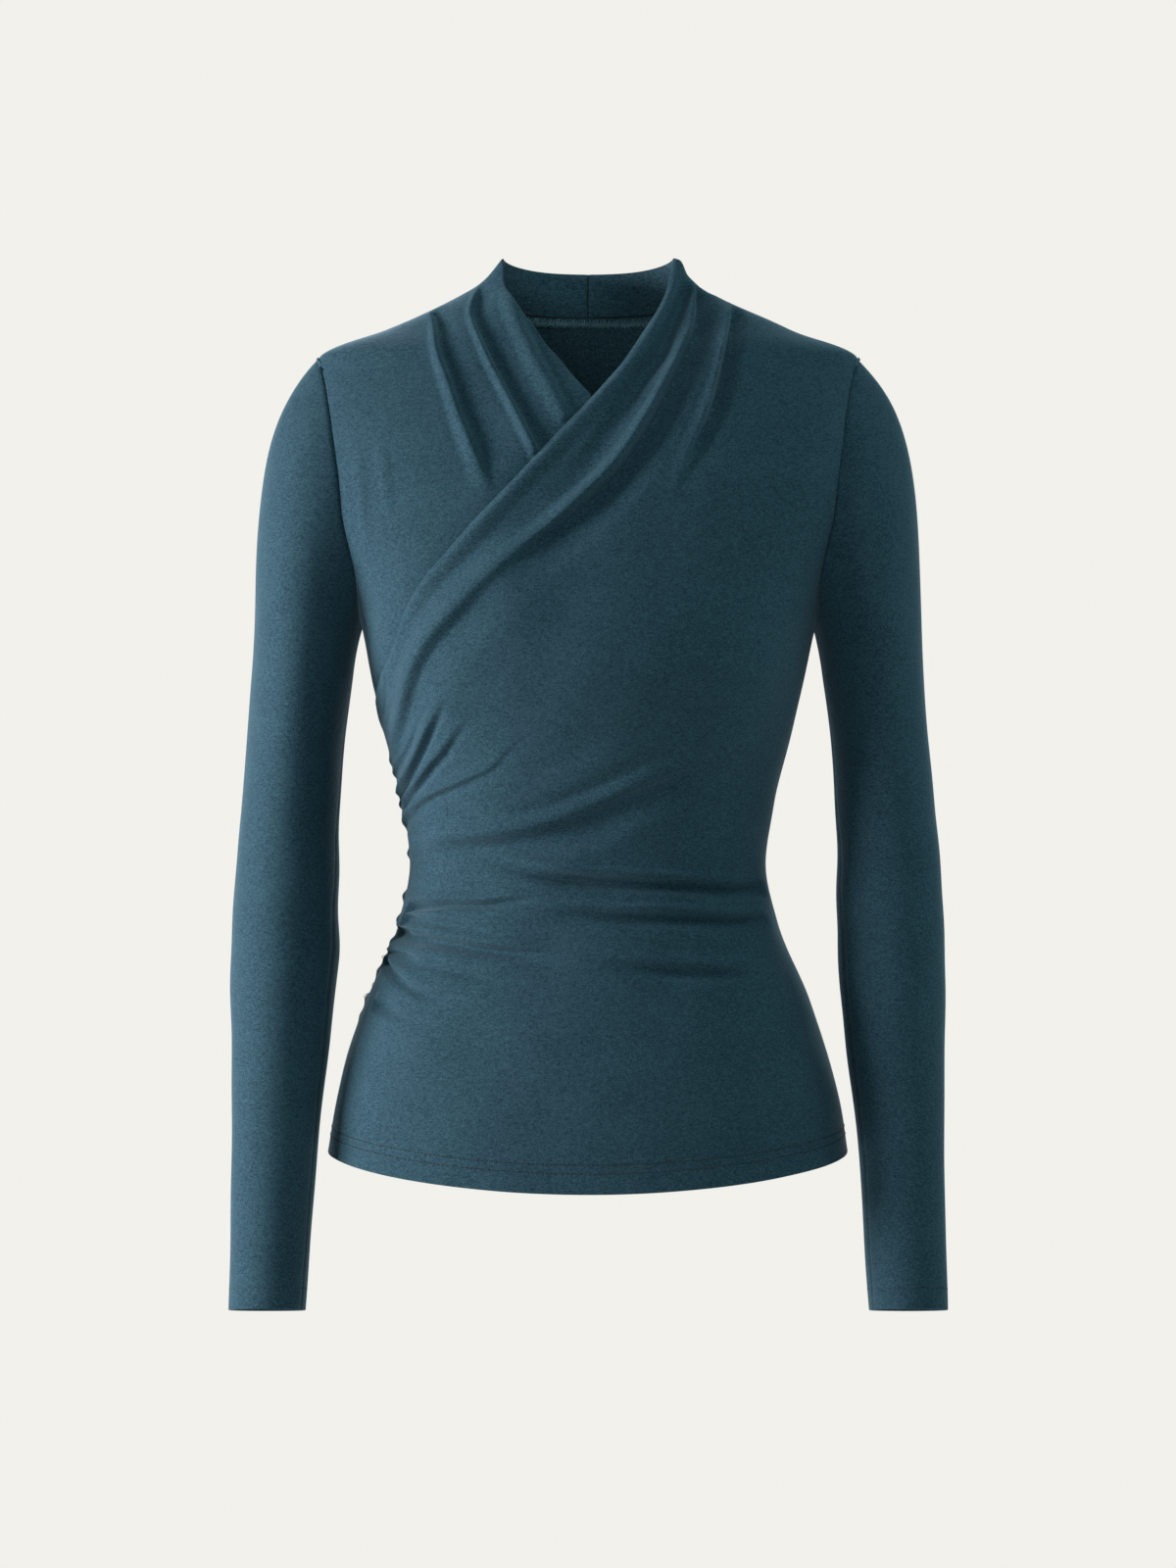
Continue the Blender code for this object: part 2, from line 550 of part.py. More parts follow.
def half_gap(theta, level, round_way, up_way):
    """Theta and level moved half a seam gap along the form, round it or up it by the given signs."""
    angle, rise = 0.004, 0.4
    theta, level = np.asarray(theta, float), np.asarray(level, float)
    per_angle = np.linalg.norm(torso(theta + angle, level) - torso(theta - angle, level), axis=-1) / (2 * angle)
    per_level = np.linalg.norm(torso(theta, level + rise) - torso(theta, level - rise), axis=-1) / (2 * rise)
    return theta + round_way * SEAM_GAP / 2 / per_angle, level + up_way * SEAM_GAP / 2 / per_level


def side_boundary(bottom, side_rows, shoulder_rows, turns, round_way):
    """The edge of a panel at +X from the shoulder seam's inner end down the armhole and side seam.

    Gives theta, level and the armhole turn, which is not a number away from the armhole.
    """
    shoulder = np.linspace(NECK_SEAM, SHOULDER_POINT, shoulder_rows + 1)[:-1]
    side = np.linspace(UNDERARM, bottom, side_rows + 1)[1:]
    hole_theta, hole_level = armhole_place(turns)
    theta = np.concatenate([np.full(len(shoulder), np.pi / 2), hole_theta, np.full(len(side), np.pi / 2)])
    level = np.concatenate([shoulder, hole_level, side])
    turn = np.concatenate([np.full(len(shoulder), np.nan), turns, np.full(len(side), np.nan)])
    inset_theta, _ = half_gap(theta, level, round_way, 0)
    return np.where(np.isnan(turn), inset_theta, theta), level, turn


def set_armhole_edge(outer, inner, turn, side, round_way):
    """Puts a panel's armhole edge half a gap from the seam line, its two corners also half a gap from
    the side and shoulder seams, which the panel leaves by round_way."""
    at_hole = ~np.isnan(turn)
    line, across, wall = armhole_seam(turn[at_hole])
    theta, level = armhole_place(turn[at_hole])
    corner = (np.abs(np.sin(turn[at_hole])) < 1e-6)[:, None]
    from_seam = unit(torso(theta + 0.01 * round_way, level) - line)
    edge = line - across * SEAM_GAP / 2 + corner * from_seam * SEAM_GAP / 2
    mirror = np.array([side, 1, 1])
    outer[at_hole] = edge * mirror
    inner[at_hole] = (edge - wall) * mirror


def skins(surface, theta, level):
    outer = surface(theta, level)
    return outer, outer - WALL * outward(surface, theta, level)


def crossover_front(name, edge, offset, side, bottom, end_levels, side_rows, columns):
    """A front that starts at the centre-back collar seam on one side and crosses to the other side seam.

    Its rows run along the cloth from the shoulder to the opposite side seam, the way its folds lie.
    It is laid out as if it started at +X; side mirrors it.
    """
    turns = np.radians(np.linspace(0, 180, ARMHOLE_STEPS + 1))
    start_theta, start_level, turn = side_boundary(bottom, side_rows, SHOULDER_ROWS, turns, -1)
    junction = np.linspace(COLLAR_TOP, NECK_SEAM, COLLAR_ROWS + 1)[:-1]
    neck_gap = half_gap(np.pi / 2, NECK_SEAM, 0, 1)[1]
    start_level[0] = neck_gap
    start_theta = np.concatenate([np.full(COLLAR_ROWS, np.pi / 2), start_theta])
    start_level = np.concatenate([junction, start_level])
    turn = np.concatenate([np.full(COLLAR_ROWS, np.nan), turn])
    end_theta, end_level = half_gap(np.full(len(end_levels), -np.pi / 2), end_levels, 1, 0)

    shares = np.linspace(0, 1, LAYOUT_FINENESS * columns + 1)
    edge_curve = through(edge_places(edge, 1), 400)
    edge_points = torso(edge_curve[:, 0], edge_curve[:, 1])
    length = np.concatenate([[0], np.cumsum(np.linalg.norm(np.diff(edge_points, axis=0), axis=1))])
    top = np.stack([np.interp(shares * length[-1], length, edge_curve[:, k]) for k in (0, 1)], axis=-1)
    foot = np.stack([start_theta[-1] + (end_theta[-1] - start_theta[-1]) * shares,
                     np.full(len(shares), float(bottom))], axis=-1)
    start = np.stack([start_theta, start_level], axis=-1)
    end = np.stack([end_theta, end_level], axis=-1)
    top[0], top[-1] = start[0], end[0]
    top, foot = unrolled(top), unrolled(foot)

    def travelled(places):
        steps = np.linalg.norm(np.diff(torso(places[:, 0], places[:, 1]), axis=0), axis=1)
        return np.concatenate([[0], np.cumsum(steps)]) / steps.sum()

    down = (0.5 * (travelled(start) + travelled(end)))[:, None, None]
    start, end = unrolled(start), unrolled(end)
    across = shares[None, :, None]
    body = (
        (1 - down) * top[None] + down * foot[None]
        + (1 - across) * start[:, None] + across * end[:, None]
        - (1 - down) * ((1 - across) * start[0] + across * end[0])
        - down * ((1 - across) * start[-1] + across * end[-1])
    )
    body = rolled(respaced(even_out(body), close_at_ends(columns)))
    rows = len(start)
    back_theta = np.linspace(half_gap(np.pi, 0.0, -1, 0)[0], np.pi / 2, COLLAR_COLUMNS + 1)[:-1]
    collar_level = np.append(junction, NECK_SEAM)
    collar = np.empty((COLLAR_ROWS + 1, COLLAR_COLUMNS, 2))
    collar[..., 0] = back_theta
    collar[..., 1] = collar_level[:, None]
    collar[-1, :, 1] = half_gap(back_theta, np.zeros(COLLAR_COLUMNS), 0, 1)[1]

    number = {}
    places, turn_of = [], []
    for row in range(rows):
        first = -COLLAR_COLUMNS if row <= COLLAR_ROWS else 0
        for column in range(first, columns + 1):
            number[row, column] = len(places)
            places.append(collar[row, column + COLLAR_COLUMNS] if column < 0 else body[row, column])
            turn_of.append(turn[row] if column == 0 else np.nan)
    quads = []
    for row, column in number:
        corners = [(row, column), (row, column + 1), (row + 1, column + 1), (row + 1, column)]
        if all(corner in number for corner in corners):
            quad = [number[corner] for corner in corners]
            quads.append(quad if side > 0 else quad[::-1])
    places = np.array(places)
    outer, inner = skins(cloth(offset), side * places[:, 0], places[:, 1])
    set_armhole_edge(outer, inner, np.array(turn_of), side, -1)
    return wall_object(name, outer, inner, quads)


def back_panel():
    """The back, from the hem up between the armholes to the shoulder seams and the neck seam."""
    turns = np.radians(360 - np.linspace(0, 180, ARMHOLE_STEPS + 1))
    theta, level, turn = side_boundary(HEM, BACK_SIDE_ROWS, BACK_SHOULDER_ROWS, turns, 1)
    rows, columns = len(theta), BACK_COLUMNS
    level[0] = half_gap(np.pi / 2, NECK_SEAM, 0, -1)[1]
    shares = np.linspace(0, 1, columns + 1)
    grid_theta = theta[:, None] + (2 * np.pi - 2 * theta[:, None]) * shares
    even_level = level.copy()
    even_level[~np.isnan(turn)] = np.linspace(SHOULDER_POINT, UNDERARM, ARMHOLE_STEPS + 1)
    inside = smooth_step(np.minimum(shares, 1 - shares) / BACK_EVEN_SHARE)
    grid_level = level[:, None] + (even_level - level)[:, None] * inside
    grid_level[0] = half_gap(grid_theta[0], np.zeros(columns + 1), 0, -1)[1]
    left_turn = np.full((rows, columns + 1), np.nan)
    left_turn[:, 0] = turn
    outer, inner = skins(cloth(back_offset), grid_theta, grid_level)
    set_armhole_edge(outer, inner, left_turn, 1, 1)
    set_armhole_edge(outer, inner, left_turn[:, ::-1], -1, 1)
    corner = np.arange(rows * (columns + 1)).reshape(rows, columns + 1)
    quads = np.stack([corner[:-1, :-1], corner[1:, :-1], corner[1:, 1:], corner[:-1, 1:]], axis=-1)
    return wall_object("back", outer.reshape(-1, 3), inner.reshape(-1, 3), quads.reshape(-1, 4).tolist())


def sleeve_tube(name, side):
    """A sleeve from the armhole to the open cuff, a tube with one seam at the underarm."""
    around = 2 * ARMHOLE_STEPS
    turns = np.arange(around) * 2 * np.pi / around
    arm = 1 + np.linspace(0, 1, SLEEVE_ARM_ROWS + 1)
    shares = np.concatenate([SLEEVE_CAP_SHARES, arm])
    turn, share = np.meshgrid(turns, shares)
    outer = sleeve(turn, share)
    inner = outer - WALL * sleeve_outward(turn, share)
    line, across, wall = armhole_seam(turns)
    outer[0] = line + across * SEAM_GAP / 2
    inner[0] = outer[0] - wall
    rows = len(shares)
    corner = np.arange(rows * around).reshape(rows, around)
    after = np.roll(corner, -1, axis=1)
    quads = np.stack([corner[:-1], after[:-1], after[1:], corner[1:]], axis=-1).reshape(-1, 4)
    if side < 0:
        quads = quads[:, ::-1]
    mirror = np.array([side, 1, 1])
    return wall_object(name, (outer * mirror).reshape(-1, 3), (inner * mirror).reshape(-1, 3), quads.tolist())


def gathered_levels():
    """Where the rows of the upper front meet the side seam: close together along the gathers."""
    rows = COLLAR_ROWS + SHOULDER_ROWS + ARMHOLE_STEPS + SIDE_ROWS_OVER
    plain = 7
    gathers = np.linspace(WRAP_END, GATHER_END, rows - plain + 1)
    return np.concatenate([gathers, np.linspace(GATHER_END, HEM, plain + 1)[1:]])


def plain_levels():
    rows = COLLAR_ROWS + SHOULDER_ROWS + ARMHOLE_STEPS + SIDE_ROWS_UNDER
    return np.linspace(WRAP_END, UNDER_LAYER_HEM, rows + 1)


def clear_scene():
    for item in list(bpy.data.objects):
        bpy.data.objects.remove(item, do_unlink=True)


def build():
    clear_scene()
    back_panel()
    crossover_front("front_left", OVER_EDGE, over_offset, 1, HEM, gathered_levels(), SIDE_ROWS_OVER, OVER_COLUMNS)
    crossover_front(
        "front_right", UNDER_EDGE, under_offset, -1, UNDER_LAYER_HEM, plain_levels(), SIDE_ROWS_UNDER, UNDER_COLUMNS
    )
    sleeve_tube("sleeve_left", 1)
    sleeve_tube("sleeve_right", -1)


build()
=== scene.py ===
"""Long-sleeved wrap top in brushed heather jersey, filled out as if worn, in a plain pale studio.

Every cut piece is a thin closed shell on the form of its solid, with the folds, pleats and gathers of
the worn top laid on it. Tables are in millimetres. +X is the wearer's left, +Y the back.
"""

from collections import namedtuple

import bpy
import numpy as np
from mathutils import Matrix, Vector


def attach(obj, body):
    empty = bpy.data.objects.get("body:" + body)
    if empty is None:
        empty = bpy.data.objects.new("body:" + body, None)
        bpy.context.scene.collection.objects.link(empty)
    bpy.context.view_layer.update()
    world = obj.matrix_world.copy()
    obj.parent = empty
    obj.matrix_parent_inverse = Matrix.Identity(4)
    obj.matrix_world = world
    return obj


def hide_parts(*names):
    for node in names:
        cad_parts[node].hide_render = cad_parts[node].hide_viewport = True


MM = 0.001
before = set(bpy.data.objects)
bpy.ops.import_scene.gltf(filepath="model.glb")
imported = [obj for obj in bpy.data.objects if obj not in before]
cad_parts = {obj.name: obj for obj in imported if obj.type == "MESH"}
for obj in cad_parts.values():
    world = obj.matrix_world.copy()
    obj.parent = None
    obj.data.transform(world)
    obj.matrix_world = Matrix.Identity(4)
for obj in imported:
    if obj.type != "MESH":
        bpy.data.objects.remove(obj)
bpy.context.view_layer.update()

# ---- the top's form

WALL, DEEPEST_DENT = 1.2, 1.6
SEAM_GAP = 0.12
FREE_ROUNDING, SEWN_ROUNDING = 1.0, 0.12
COLLAR_TOP, NECK_SEAM, SHOULDER_POINT, UNDERARM = 23.0, 0.0, -43.0, -222.0
HEM, UNDER_LAYER_HEM, WRAP_END, GATHER_END = -568.0, -330.0, -280.0, -488.0

# Level rings round the body: level, half width, depth to the front, depth to the back, middle, squareness,
# and how far the front and back centres hang from the level
RINGS = (
    (HEM, 172.0, 115, 116, 0, 2.30, -17, -8),
    (-521, 163.0, 111, 113, 0, 2.30, -12, -5),
    (-469, 147.0, 101, 101, 0, 2.30, -6, -2),
    (-417, 125.5, 91, 86, 0, 2.25, 0, 0),
    (-378, 118.3, 87, 79, 0, 2.20, 0, 0),
    (-339, 123.5, 92, 80, 0, 2.20, 0, 0),
    (-287, 136.0, 107, 88, 0, 2.25, 0, 0),
    (-248, 144.5, 117, 94, 1, 2.30, 0, 0),
    (UNDERARM, 150.5, 114, 98, 2, 2.30, 0, 0),
    (-194, 160.0, 107, 101, 3, 2.30, 0, 0),
    (-145, 183.0, 98, 104, 4, 2.30, 0, 0),
    (-99, 191.0, 84, 98, 5, 2.20, 0, 0),
    (SHOULDER_POINT, 179.0, 54, 80, 7, 2.00, 0, -4),
    (-24, 134.5, 41, 74, 7, 2.00, 0, -7),
    (-3, 88.0, 27, 66, 6, 2.00, 0, -9.5),
    (7, 71.5, 20, 62, 4, 2.00, 0, -7),
    (COLLAR_TOP, 57.5, 8, 60, 2, 2.00, 0, -3),
)
ARMHOLE_FRONT, ARMHOLE_BACK = 33.0, 31.0
SCOOP_FRONT, SCOOP_BACK = -0.10, 0.35

# Free edge of each front from the collar down to the opposite side seam, for a front that crosses
# from +X to -X
OVER_EDGE = (
    (56, 20), (50, -6), (36, -31), (20, -56), (2, -78), (-32, -115),
    (-58, -143), (-85, -172), (-104, -194), (-117, -216), (-128, -244),
)
UNDER_EDGE = (
    (57, 19), (56, 5), (49.5, -7), (42, -18.6), (32.8, -31), (20.8, -47.4),
    (8.2, -64), (-4, -78), (-32, -115), (-85, -172), (-117, -216), (-128, -244),
)
LIFT, LIFT_WIDTH, AIR = 0.9, 26.0, 0.5
ROLL, ROLL_MIDDLE, ROLL_OUT, ROLL_IN = 2.4, 4.0, 5.0, 10.0
SINK, SINK_START, SINK_WIDTH, SINK_AT_SEAM = 5.2, -15.0, 42.0, 1.2

# A broad fold: left and right are its widths on each side of someone walking the route on the outside
Fold = namedtuple("Fold", "route height left right spread rise fall")
# A crease: a lip that leads up to the line, then a steep drop on the walker's left and a slow recovery.
# The lip takes the share bloom of the route to grow
CREASE_PARTS = "route lip lip_width drop steep recover rise fall spread bloom"
Crease = namedtuple("Crease", CREASE_PARTS, defaults=(1.0, 0.0))

OVER_FOLDS = (
    Fold(((66, 8), (63, -3), (55, -24), (47, -46), (34, -66), (23, -86), (10, -106), (-3, -126), (-24, -146),
        (-49, -169)), -6.0, 7, 9, 1.4, 0.05, 0.8),
    Fold(((-20, -160), (-58, -190), (-84, -214), (-104, -240), (-116, -270), (-122, -300)),
        6.2, 56, 20, 1.0, 0.3, 0.35),
    Fold(((62, -284), (40, -298), (0, -320), (-50, -338), (-90, -346)), 1.6, 12, 20, 0.8, 0.4, 0.5),
)
OVER_CREASES = (
    Crease(((73, 8), (71, -2), (68, -24), (60, -45), (50, -66), (40, -86), (28, -106), (13, -126),
        (-13, -151), (-43, -176), (-65, -196), (-81, -213)), 5.4, 3.0, 7.4, 2.8, 13, 0.04, 0.4, 2.3, 0.45),
    Crease(((-50, -182), (-65, -196), (-81, -213), (-93, -226), (-104, -241), (-112, -256), (-119, -273),
        (-126, -289), (-130, -302)), 1.6, 6, 3.4, 8, 26, 0.3, 0.2),
    Crease(((94, -10), (92, -23), (87, -45), (82, -66), (76, -86), (67, -106), (60, -125), (53, -148)),
        4.0, 3.4, 6.2, 2.8, 10, 0.05, 0.5, 1.4, 0.3),
    Crease(((-130, -250), (-133, -269), (-135, -283)), 0.2, 3, 0.5, 2, 5, 0.3, 0.3),
    Crease(((-110, -280), (-115, -292), (-123, -308), (-128, -321)), 0.6, 3, 1.0, 3, 4, 0.3, 0.08),
    Crease(((-90, -264), (-96, -276), (-104, -291), (-112, -306), (-120, -321), (-127, -335)),
        2.4, 4.5, 3.2, 5.5, 5, 0.35, 0.08, 0.8),
    Crease(((-76, -276), (-86, -292), (-95, -305), (-101, -311), (-112, -325), (-122, -340)),
        2.0, 4, 2.4, 5, 6, 0.5, 0.08, 0.8),
    Crease(((-34, -287), (-48, -299), (-62, -314), (-69, -318), (-87, -326), (-101, -332), (-113, -340),
        (-124, -352)), 1.8, 5, 1.6, 4, 7, 0.6, 0.08),
    Crease(((88, -300), (57, -314), (25, -327), (0, -339), (-25, -348), (-50, -354), (-75, -357),
        (-97, -360), (-122, -368)), 2.8, 5.5, 4.6, 12, 20, 0.25, 0.4),
    Crease(((118, -392), (89, -388), (57, -385), (25, -383), (0, -381), (-25, -378), (-50, -373),
        (-75, -370)), 3.2, 3.0, 5.8, 7.0, 7, 0.15, 0.35),
    Crease(((118, -411), (89, -408), (57, -406), (25, -405), (0, -403), (-25, -404), (-44, -406)),
        3.3, 2.8, 5.6, 6.5, 9, 0.15, 0.5),
    Crease(((-25, -396), (-50, -398), (-69, -400), (-88, -400), (-101, -401), (-119, -405)),
        1.8, 3.2, 4.8, 3.4, 5, 0.4, 0.08),
    Crease(((-52, -416), (-75, -415), (-97, -412), (-122, -412)), 1.5, 3.4, 3.4, 3.2, 7, 0.5, 0.08),
    Crease(((-14, -433), (-34, -431), (-50, -429), (-69, -427), (-88, -424), (-101, -422), (-114, -421),
        (-128, -420)), 1.2, 3.2, 6.6, 3.8, 9, 0.3, 0.08),
    Crease(((-18, -453), (-50, -447), (-69, -445), (-88, -441), (-107, -438), (-133, -437)),
        1.7, 4.4, 3.3, 3.6, 8, 0.5, 0.08),
    Crease(((-70, -460), (-88, -458), (-100, -458), (-114, -453), (-128, -444), (-140, -438)),
        1.7, 4.2, 4.0, 3.6, 8, 0.4, 0.08),
    Crease(((-86, -478), (-107, -474), (-120, -471), (-140, -465)), 1.2, 4, 2.6, 3.8, 8, 0.5, 0.08),
    Crease(((112, -443), (88, -441), (57, -439), (25, -435), (0, -433)), 2.4, 4, 4.4, 8, 8, 0.3, 0.5),
)
UNDER_FOLDS = (
    Fold(((-56, 8), (-53, -3), (-46, -25), (-37, -46), (-27, -66), (-16, -87), (-6, -100)),
        3.6, 8, 10, 1.0, 0.2, 0.1),
    Fold(((-152, -96), (-148, -130), (-139, -185)), 0.9, 7, 7, 1.0, 0.4, 0.5),
    Fold(((-136, -96), (-131, -130), (-124, -172)), 0.8, 7, 7, 1.0, 0.4, 0.5),
)
UNDER_CREASES = (
    Crease(((-106, -13), (-102, -23), (-98, -45), (-91, -65), (-84, -86), (-76, -106), (-69, -125),
        (-61, -146)), 4.0, 2.6, 2.2, 3, 11, 0.04, 0.25, 2.4, 0.35),
    Crease(((-77, 8), (-76.5, -11), (-75.5, -24), (-67, -45), (-57, -66), (-47, -86), (-37, -106),
        (-28, -123)), 3.8, 2.4, 2.6, 3.0, 12, 0.15, 0.05, 1.6, 0.5),
)
BACK_FOLDS = (
    Fold(((-112, -352), (-50, -362), (40, -362), (108, -350)), -2.4, 13, 11, 1.0, 0.4, 0.4),
    Fold(((-100, -371), (-30, -380), (60, -378), (112, -366)), 2.0, 10, 12, 1.0, 0.4, 0.4),
    Fold(((-114, -392), (-60, -397), (20, -395), (90, -388)), -1.8, 9, 11, 1.0, 0.4, 0.4),
    Fold(((-150, -150), (-118, -190), (-80, -214)), 1.8, 12, 9, 1.2, 0.3, 0.6),
    Fold(((150, -156), (116, -192), (84, -222)), 1.8, 9, 12, 1.2, 0.3, 0.6),
)
BACK_CREASES = (
    Crease(((104, -344), (70, -352), (30, -357), (-12, -356), (-44, -351)), 0.8, 6, 1.5, 5, 9, 0.3, 0.5),
    Crease(((-118, -338), (-84, -348), (-52, -352), (-20, -350)), 0.7, 5, 1.3, 4, 8, 0.1, 0.6),
    Crease(((-119, -383), (-90, -388), (-52, -391), (-10, -388), (22, -382)), 0.8, 6, 1.6, 4, 8, 0.1, 0.5),
    Crease(((112, -398), (76, -404), (34, -407), (0, -405)), 0.7, 6, 1.2, 5, 9, 0.2, 0.6),
    Crease(((-124, -413), (-100, -420), (-74, -426), (-50, -428)), 0.6, 5, 1.3, 4, 7, 0.1, 0.6),
    Crease(((-136, -441), (-112, -450), (-88, -458)), 0.5, 5, 1.1, 4, 7, 0.1, 0.6),
    Crease(((-128, -322), (-112, -318), (-92, -309), (-76, -298)), 0.6, 5, 1.2, 4, 7, 0.1, 0.6),
)

# Puckers where the cloth is gathered into the side seam of the wearer's right: level and height
PUCKERS = (
    (-311, 0.9), (-319.5, 0.8), (-324, -0.7), (-333, -0.9), (-340.5, 1.1), (-344, -0.4),
    (-351.5, 1.2), (-363, -0.8), (-372, 1.2), (-377, -0.6), (-384.5, -0.9), (-392, -0.8),
    (-400, 1.1), (-407, -0.8), (-415.5, 1.1), (-423.5, -0.8), (-430.5, 0.9), (-436.5, -0.6),
    (-441, 0.9), (-449.5, 1.0), (-462, -0.7), (-467.5, 0.9), (-479, 0.5),
)
PUCKER_WIDTH, PUCKER_STRENGTH = 3.4, 1.8

# Sleeve sections at +X: level, middle x, middle y, half width, half depth, forward lean
SLEEVE_RINGS = (
    (-250, 189.0, 3, 33.5, 52.0, 0.0),
    (-300, 193.7, 3, 31.9, 48.0, 0.5),
    (-340, 196.6, 1, 32.4, 45.0, 2.0),
    (-391, 199.5, -4, 34.4, 42.5, 5.0),
    (-430, 200.2, -9.5, 35.4, 41.0, 6.5),
    (-455, 201.2, -13.5, 34.7, 40.0, 7.5),
    (-494, 202.0, -19.5, 32.1, 37.5, 8.5),
    (-532, 203.6, -25.0, 29.9, 35.0, 9.0),
    (-570, 205.1, -32.0, 28.1, 32.5, 9.5),
    (-608, 206.6, -38.0, 26.9, 31.0, 9.5),
    (-667.3, 208.4, -49.0, 25.3, 29.5, 9.5),
)
CAP_TOP_WAY, CAP_UNDERARM_WAY = (0.70, 0.0, -0.71), (0.14, 0.0, -0.99)
CAP_START_PULL, CAP_END_PULL = 0.29, 0.43
CAP_SIDE_WAY = (0.50, 0.22, 0.25)

# Coarse layout of the fronts, and how many times finer the cloth is than that
COLLAR_ROWS, SHOULDER_ROWS, ARMHOLE_ROWS = 5, 15, 11
LAYOUT_COLUMNS, COLLAR_COLUMNS, FINER = 78, 44, 6
LAYOUT_PASSES, FINER_PASSES = 400, 40
FRONT_WIDTH, COLLAR_RADIUS, SLEEVE_RADIUS = 430.0, 62.0, 32.0
# Levels where the rows of each front end, at the side seam that it crosses to
OVER_ENDS = np.append(np.linspace(WRAP_END, GATHER_END, 54), np.linspace(GATHER_END, HEM, 8)[1:])
UNDER_ENDS = np.linspace(WRAP_END, UNDER_LAYER_HEM, 37)
GROOVE_DEPTH, GROOVE_WIDTH, SLEEVE_SEAM_DEPTH = 0.75, 1.9, 0.5
SEAM_COLUMNS = (0.7, 1.5, 2.5, 3.8)


def smooth_step(share):
    share = np.clip(share, 0.0, 1.0)
    return share * share * (3.0 - 2.0 * share)


def ramp(value, start, end):
    """0 up to the start and 1 from the end on, smooth between."""
    return smooth_step((value - start) / (end - start))


def bell(share):
    return np.clip(1 - share**2, 0, None) ** 2


def unit(vector):
    return vector / np.maximum(np.linalg.norm(vector, axis=-1, keepdims=True), 1e-12)


def mirrored(points, side):
    return points * np.array([side, 1, 1])


def travelled(points, axis=0):
    """Distance from the first point of each line of points to every point of it."""
    steps = np.linalg.norm(np.diff(points, axis=axis), axis=-1)
    return np.concatenate([np.zeros_like(steps.take([0], axis)), np.cumsum(steps, axis)], axis)


def at_distance(line, way, wanted):
    """Points of a line at the wanted distances, where way is the distance of each of its points."""
    return np.stack([np.interp(wanted, way, line[:, k]) for k in range(line.shape[1])], axis=-1)


def spline(rows, at):
    """Points on a smooth curve through rows of points, at numbers of rows with fractions."""
    ends = np.concatenate([2 * rows[:1] - rows[1:2], rows, 2 * rows[-1:] - rows[-2:-1]])
    row = np.minimum(at.astype(int), len(rows) - 2)
    t = (at - row).reshape(-1, *[1] * (rows.ndim - 1))
    a, b, c, d = (ends[row + k] for k in range(4))
    return 0.5 * (2 * b + (c - a) * t + (2 * a - 5 * b + 4 * c - d) * t**2 + (3 * b - a - 3 * c + d) * t**3)


def finer_rows(rows, times):
    return np.arange((len(rows) - 1) * times + 1) / times


def read_table(rows, at):
    """Each column of a table at the given levels, on a smooth curve that never overshoots its rows."""
    table = np.array(sorted(rows), float)
    level, values = table[:, 0], table[:, 1:]
    at = np.clip(np.asarray(at, float), level[0], level[-1])
    step = np.diff(level)[:, None]
    slope = np.diff(values, axis=0) / step
    before, after = slope[:-1], slope[1:]
    near, far = 2 * step[1:] + step[:-1], step[1:] + 2 * step[:-1]
    turning = before * after <= 0
    before, after = np.where(turning, 1.0, (before, after))
    inner = np.where(turning, 0.0, (near + far) / (near / before + far / after))
    tangent = np.concatenate([slope[:1], inner, slope[-1:]])
    row = np.clip(np.searchsorted(level, at, side="right") - 1, 0, len(level) - 2)
    t = ((at - level[row]) / step[row, 0])[..., None]
    width = step[row]
    value = (
        (2 * t**3 - 3 * t**2 + 1) * values[row]
        + (t**3 - 2 * t**2 + t) * width * tangent[row]
        + (3 * t**2 - 2 * t**3) * values[row + 1]
        + (t**3 - t**2) * width * tangent[row + 1]
    )
    return np.moveaxis(value, -1, 0)


def torso(theta, level):
    """Point of the body's form. Theta is 0 at the centre front and +90 degrees at the wearer's left."""
    half_width, front, back, middle, square, front_drop, back_drop = read_table(RINGS, level)
    across, along = np.sin(theta), np.cos(theta)
    reach = (np.abs(across) ** square + np.abs(along) ** square) ** (-1.0 / square)
    is_front = along > 0
    x = half_width * reach * across
    y = middle - np.where(is_front, front, back) * reach * along
    z = level + np.where(is_front, front_drop * along**2, back_drop * (1 - across**4))
    return np.stack([x, y, z], axis=-1)


def outward(theta, level, angle_step=0.004, level_step=0.4):
    """Unit normal of the form, pointing out of the body."""
    round_way = torso(theta + angle_step, level) - torso(theta - angle_step, level)
    top = np.minimum(level + level_step, COLLAR_TOP)
    up_way = torso(theta, top) - torso(theta, top - 2 * level_step)
    return unit(np.cross(round_way, up_way))


def place_on_torso(x, z, at_back=False):
    """Theta and level of the point of the form that is seen at x, z from the front or the back."""
    level = float(z)
    for _ in range(8):
        half_width, _, _, _, square, front_drop, back_drop = read_table(RINGS, level)
        share = min((abs(x) / half_width) ** square, 0.99999)
        theta = np.arctan((share / (1 - share)) ** (1.0 / square))
        drop = back_drop * (1 - np.sin(theta) ** 4) if at_back else front_drop * np.cos(theta) ** 2
        level = z - drop
    theta *= np.sign(x) or 1.0
    return (np.pi - theta if at_back else theta), level


def through(points, count):
    """A smooth line through a few points, evenly divided."""
    dense = spline(np.asarray(points, float), np.linspace(0, len(points) - 1, count * 4))
    way = travelled(dense)
    return at_distance(dense, way, np.linspace(0, way[-1], count))


def girth(level):
    """Mean radius of the front half of a ring, and how much longer its middle is than its sides."""
    half_width, front = read_table(RINGS, level)[:2]
    radius = np.sqrt((half_width**2 + front**2) / 2)
    return radius, (half_width**2 - front**2) / (8 * radius)


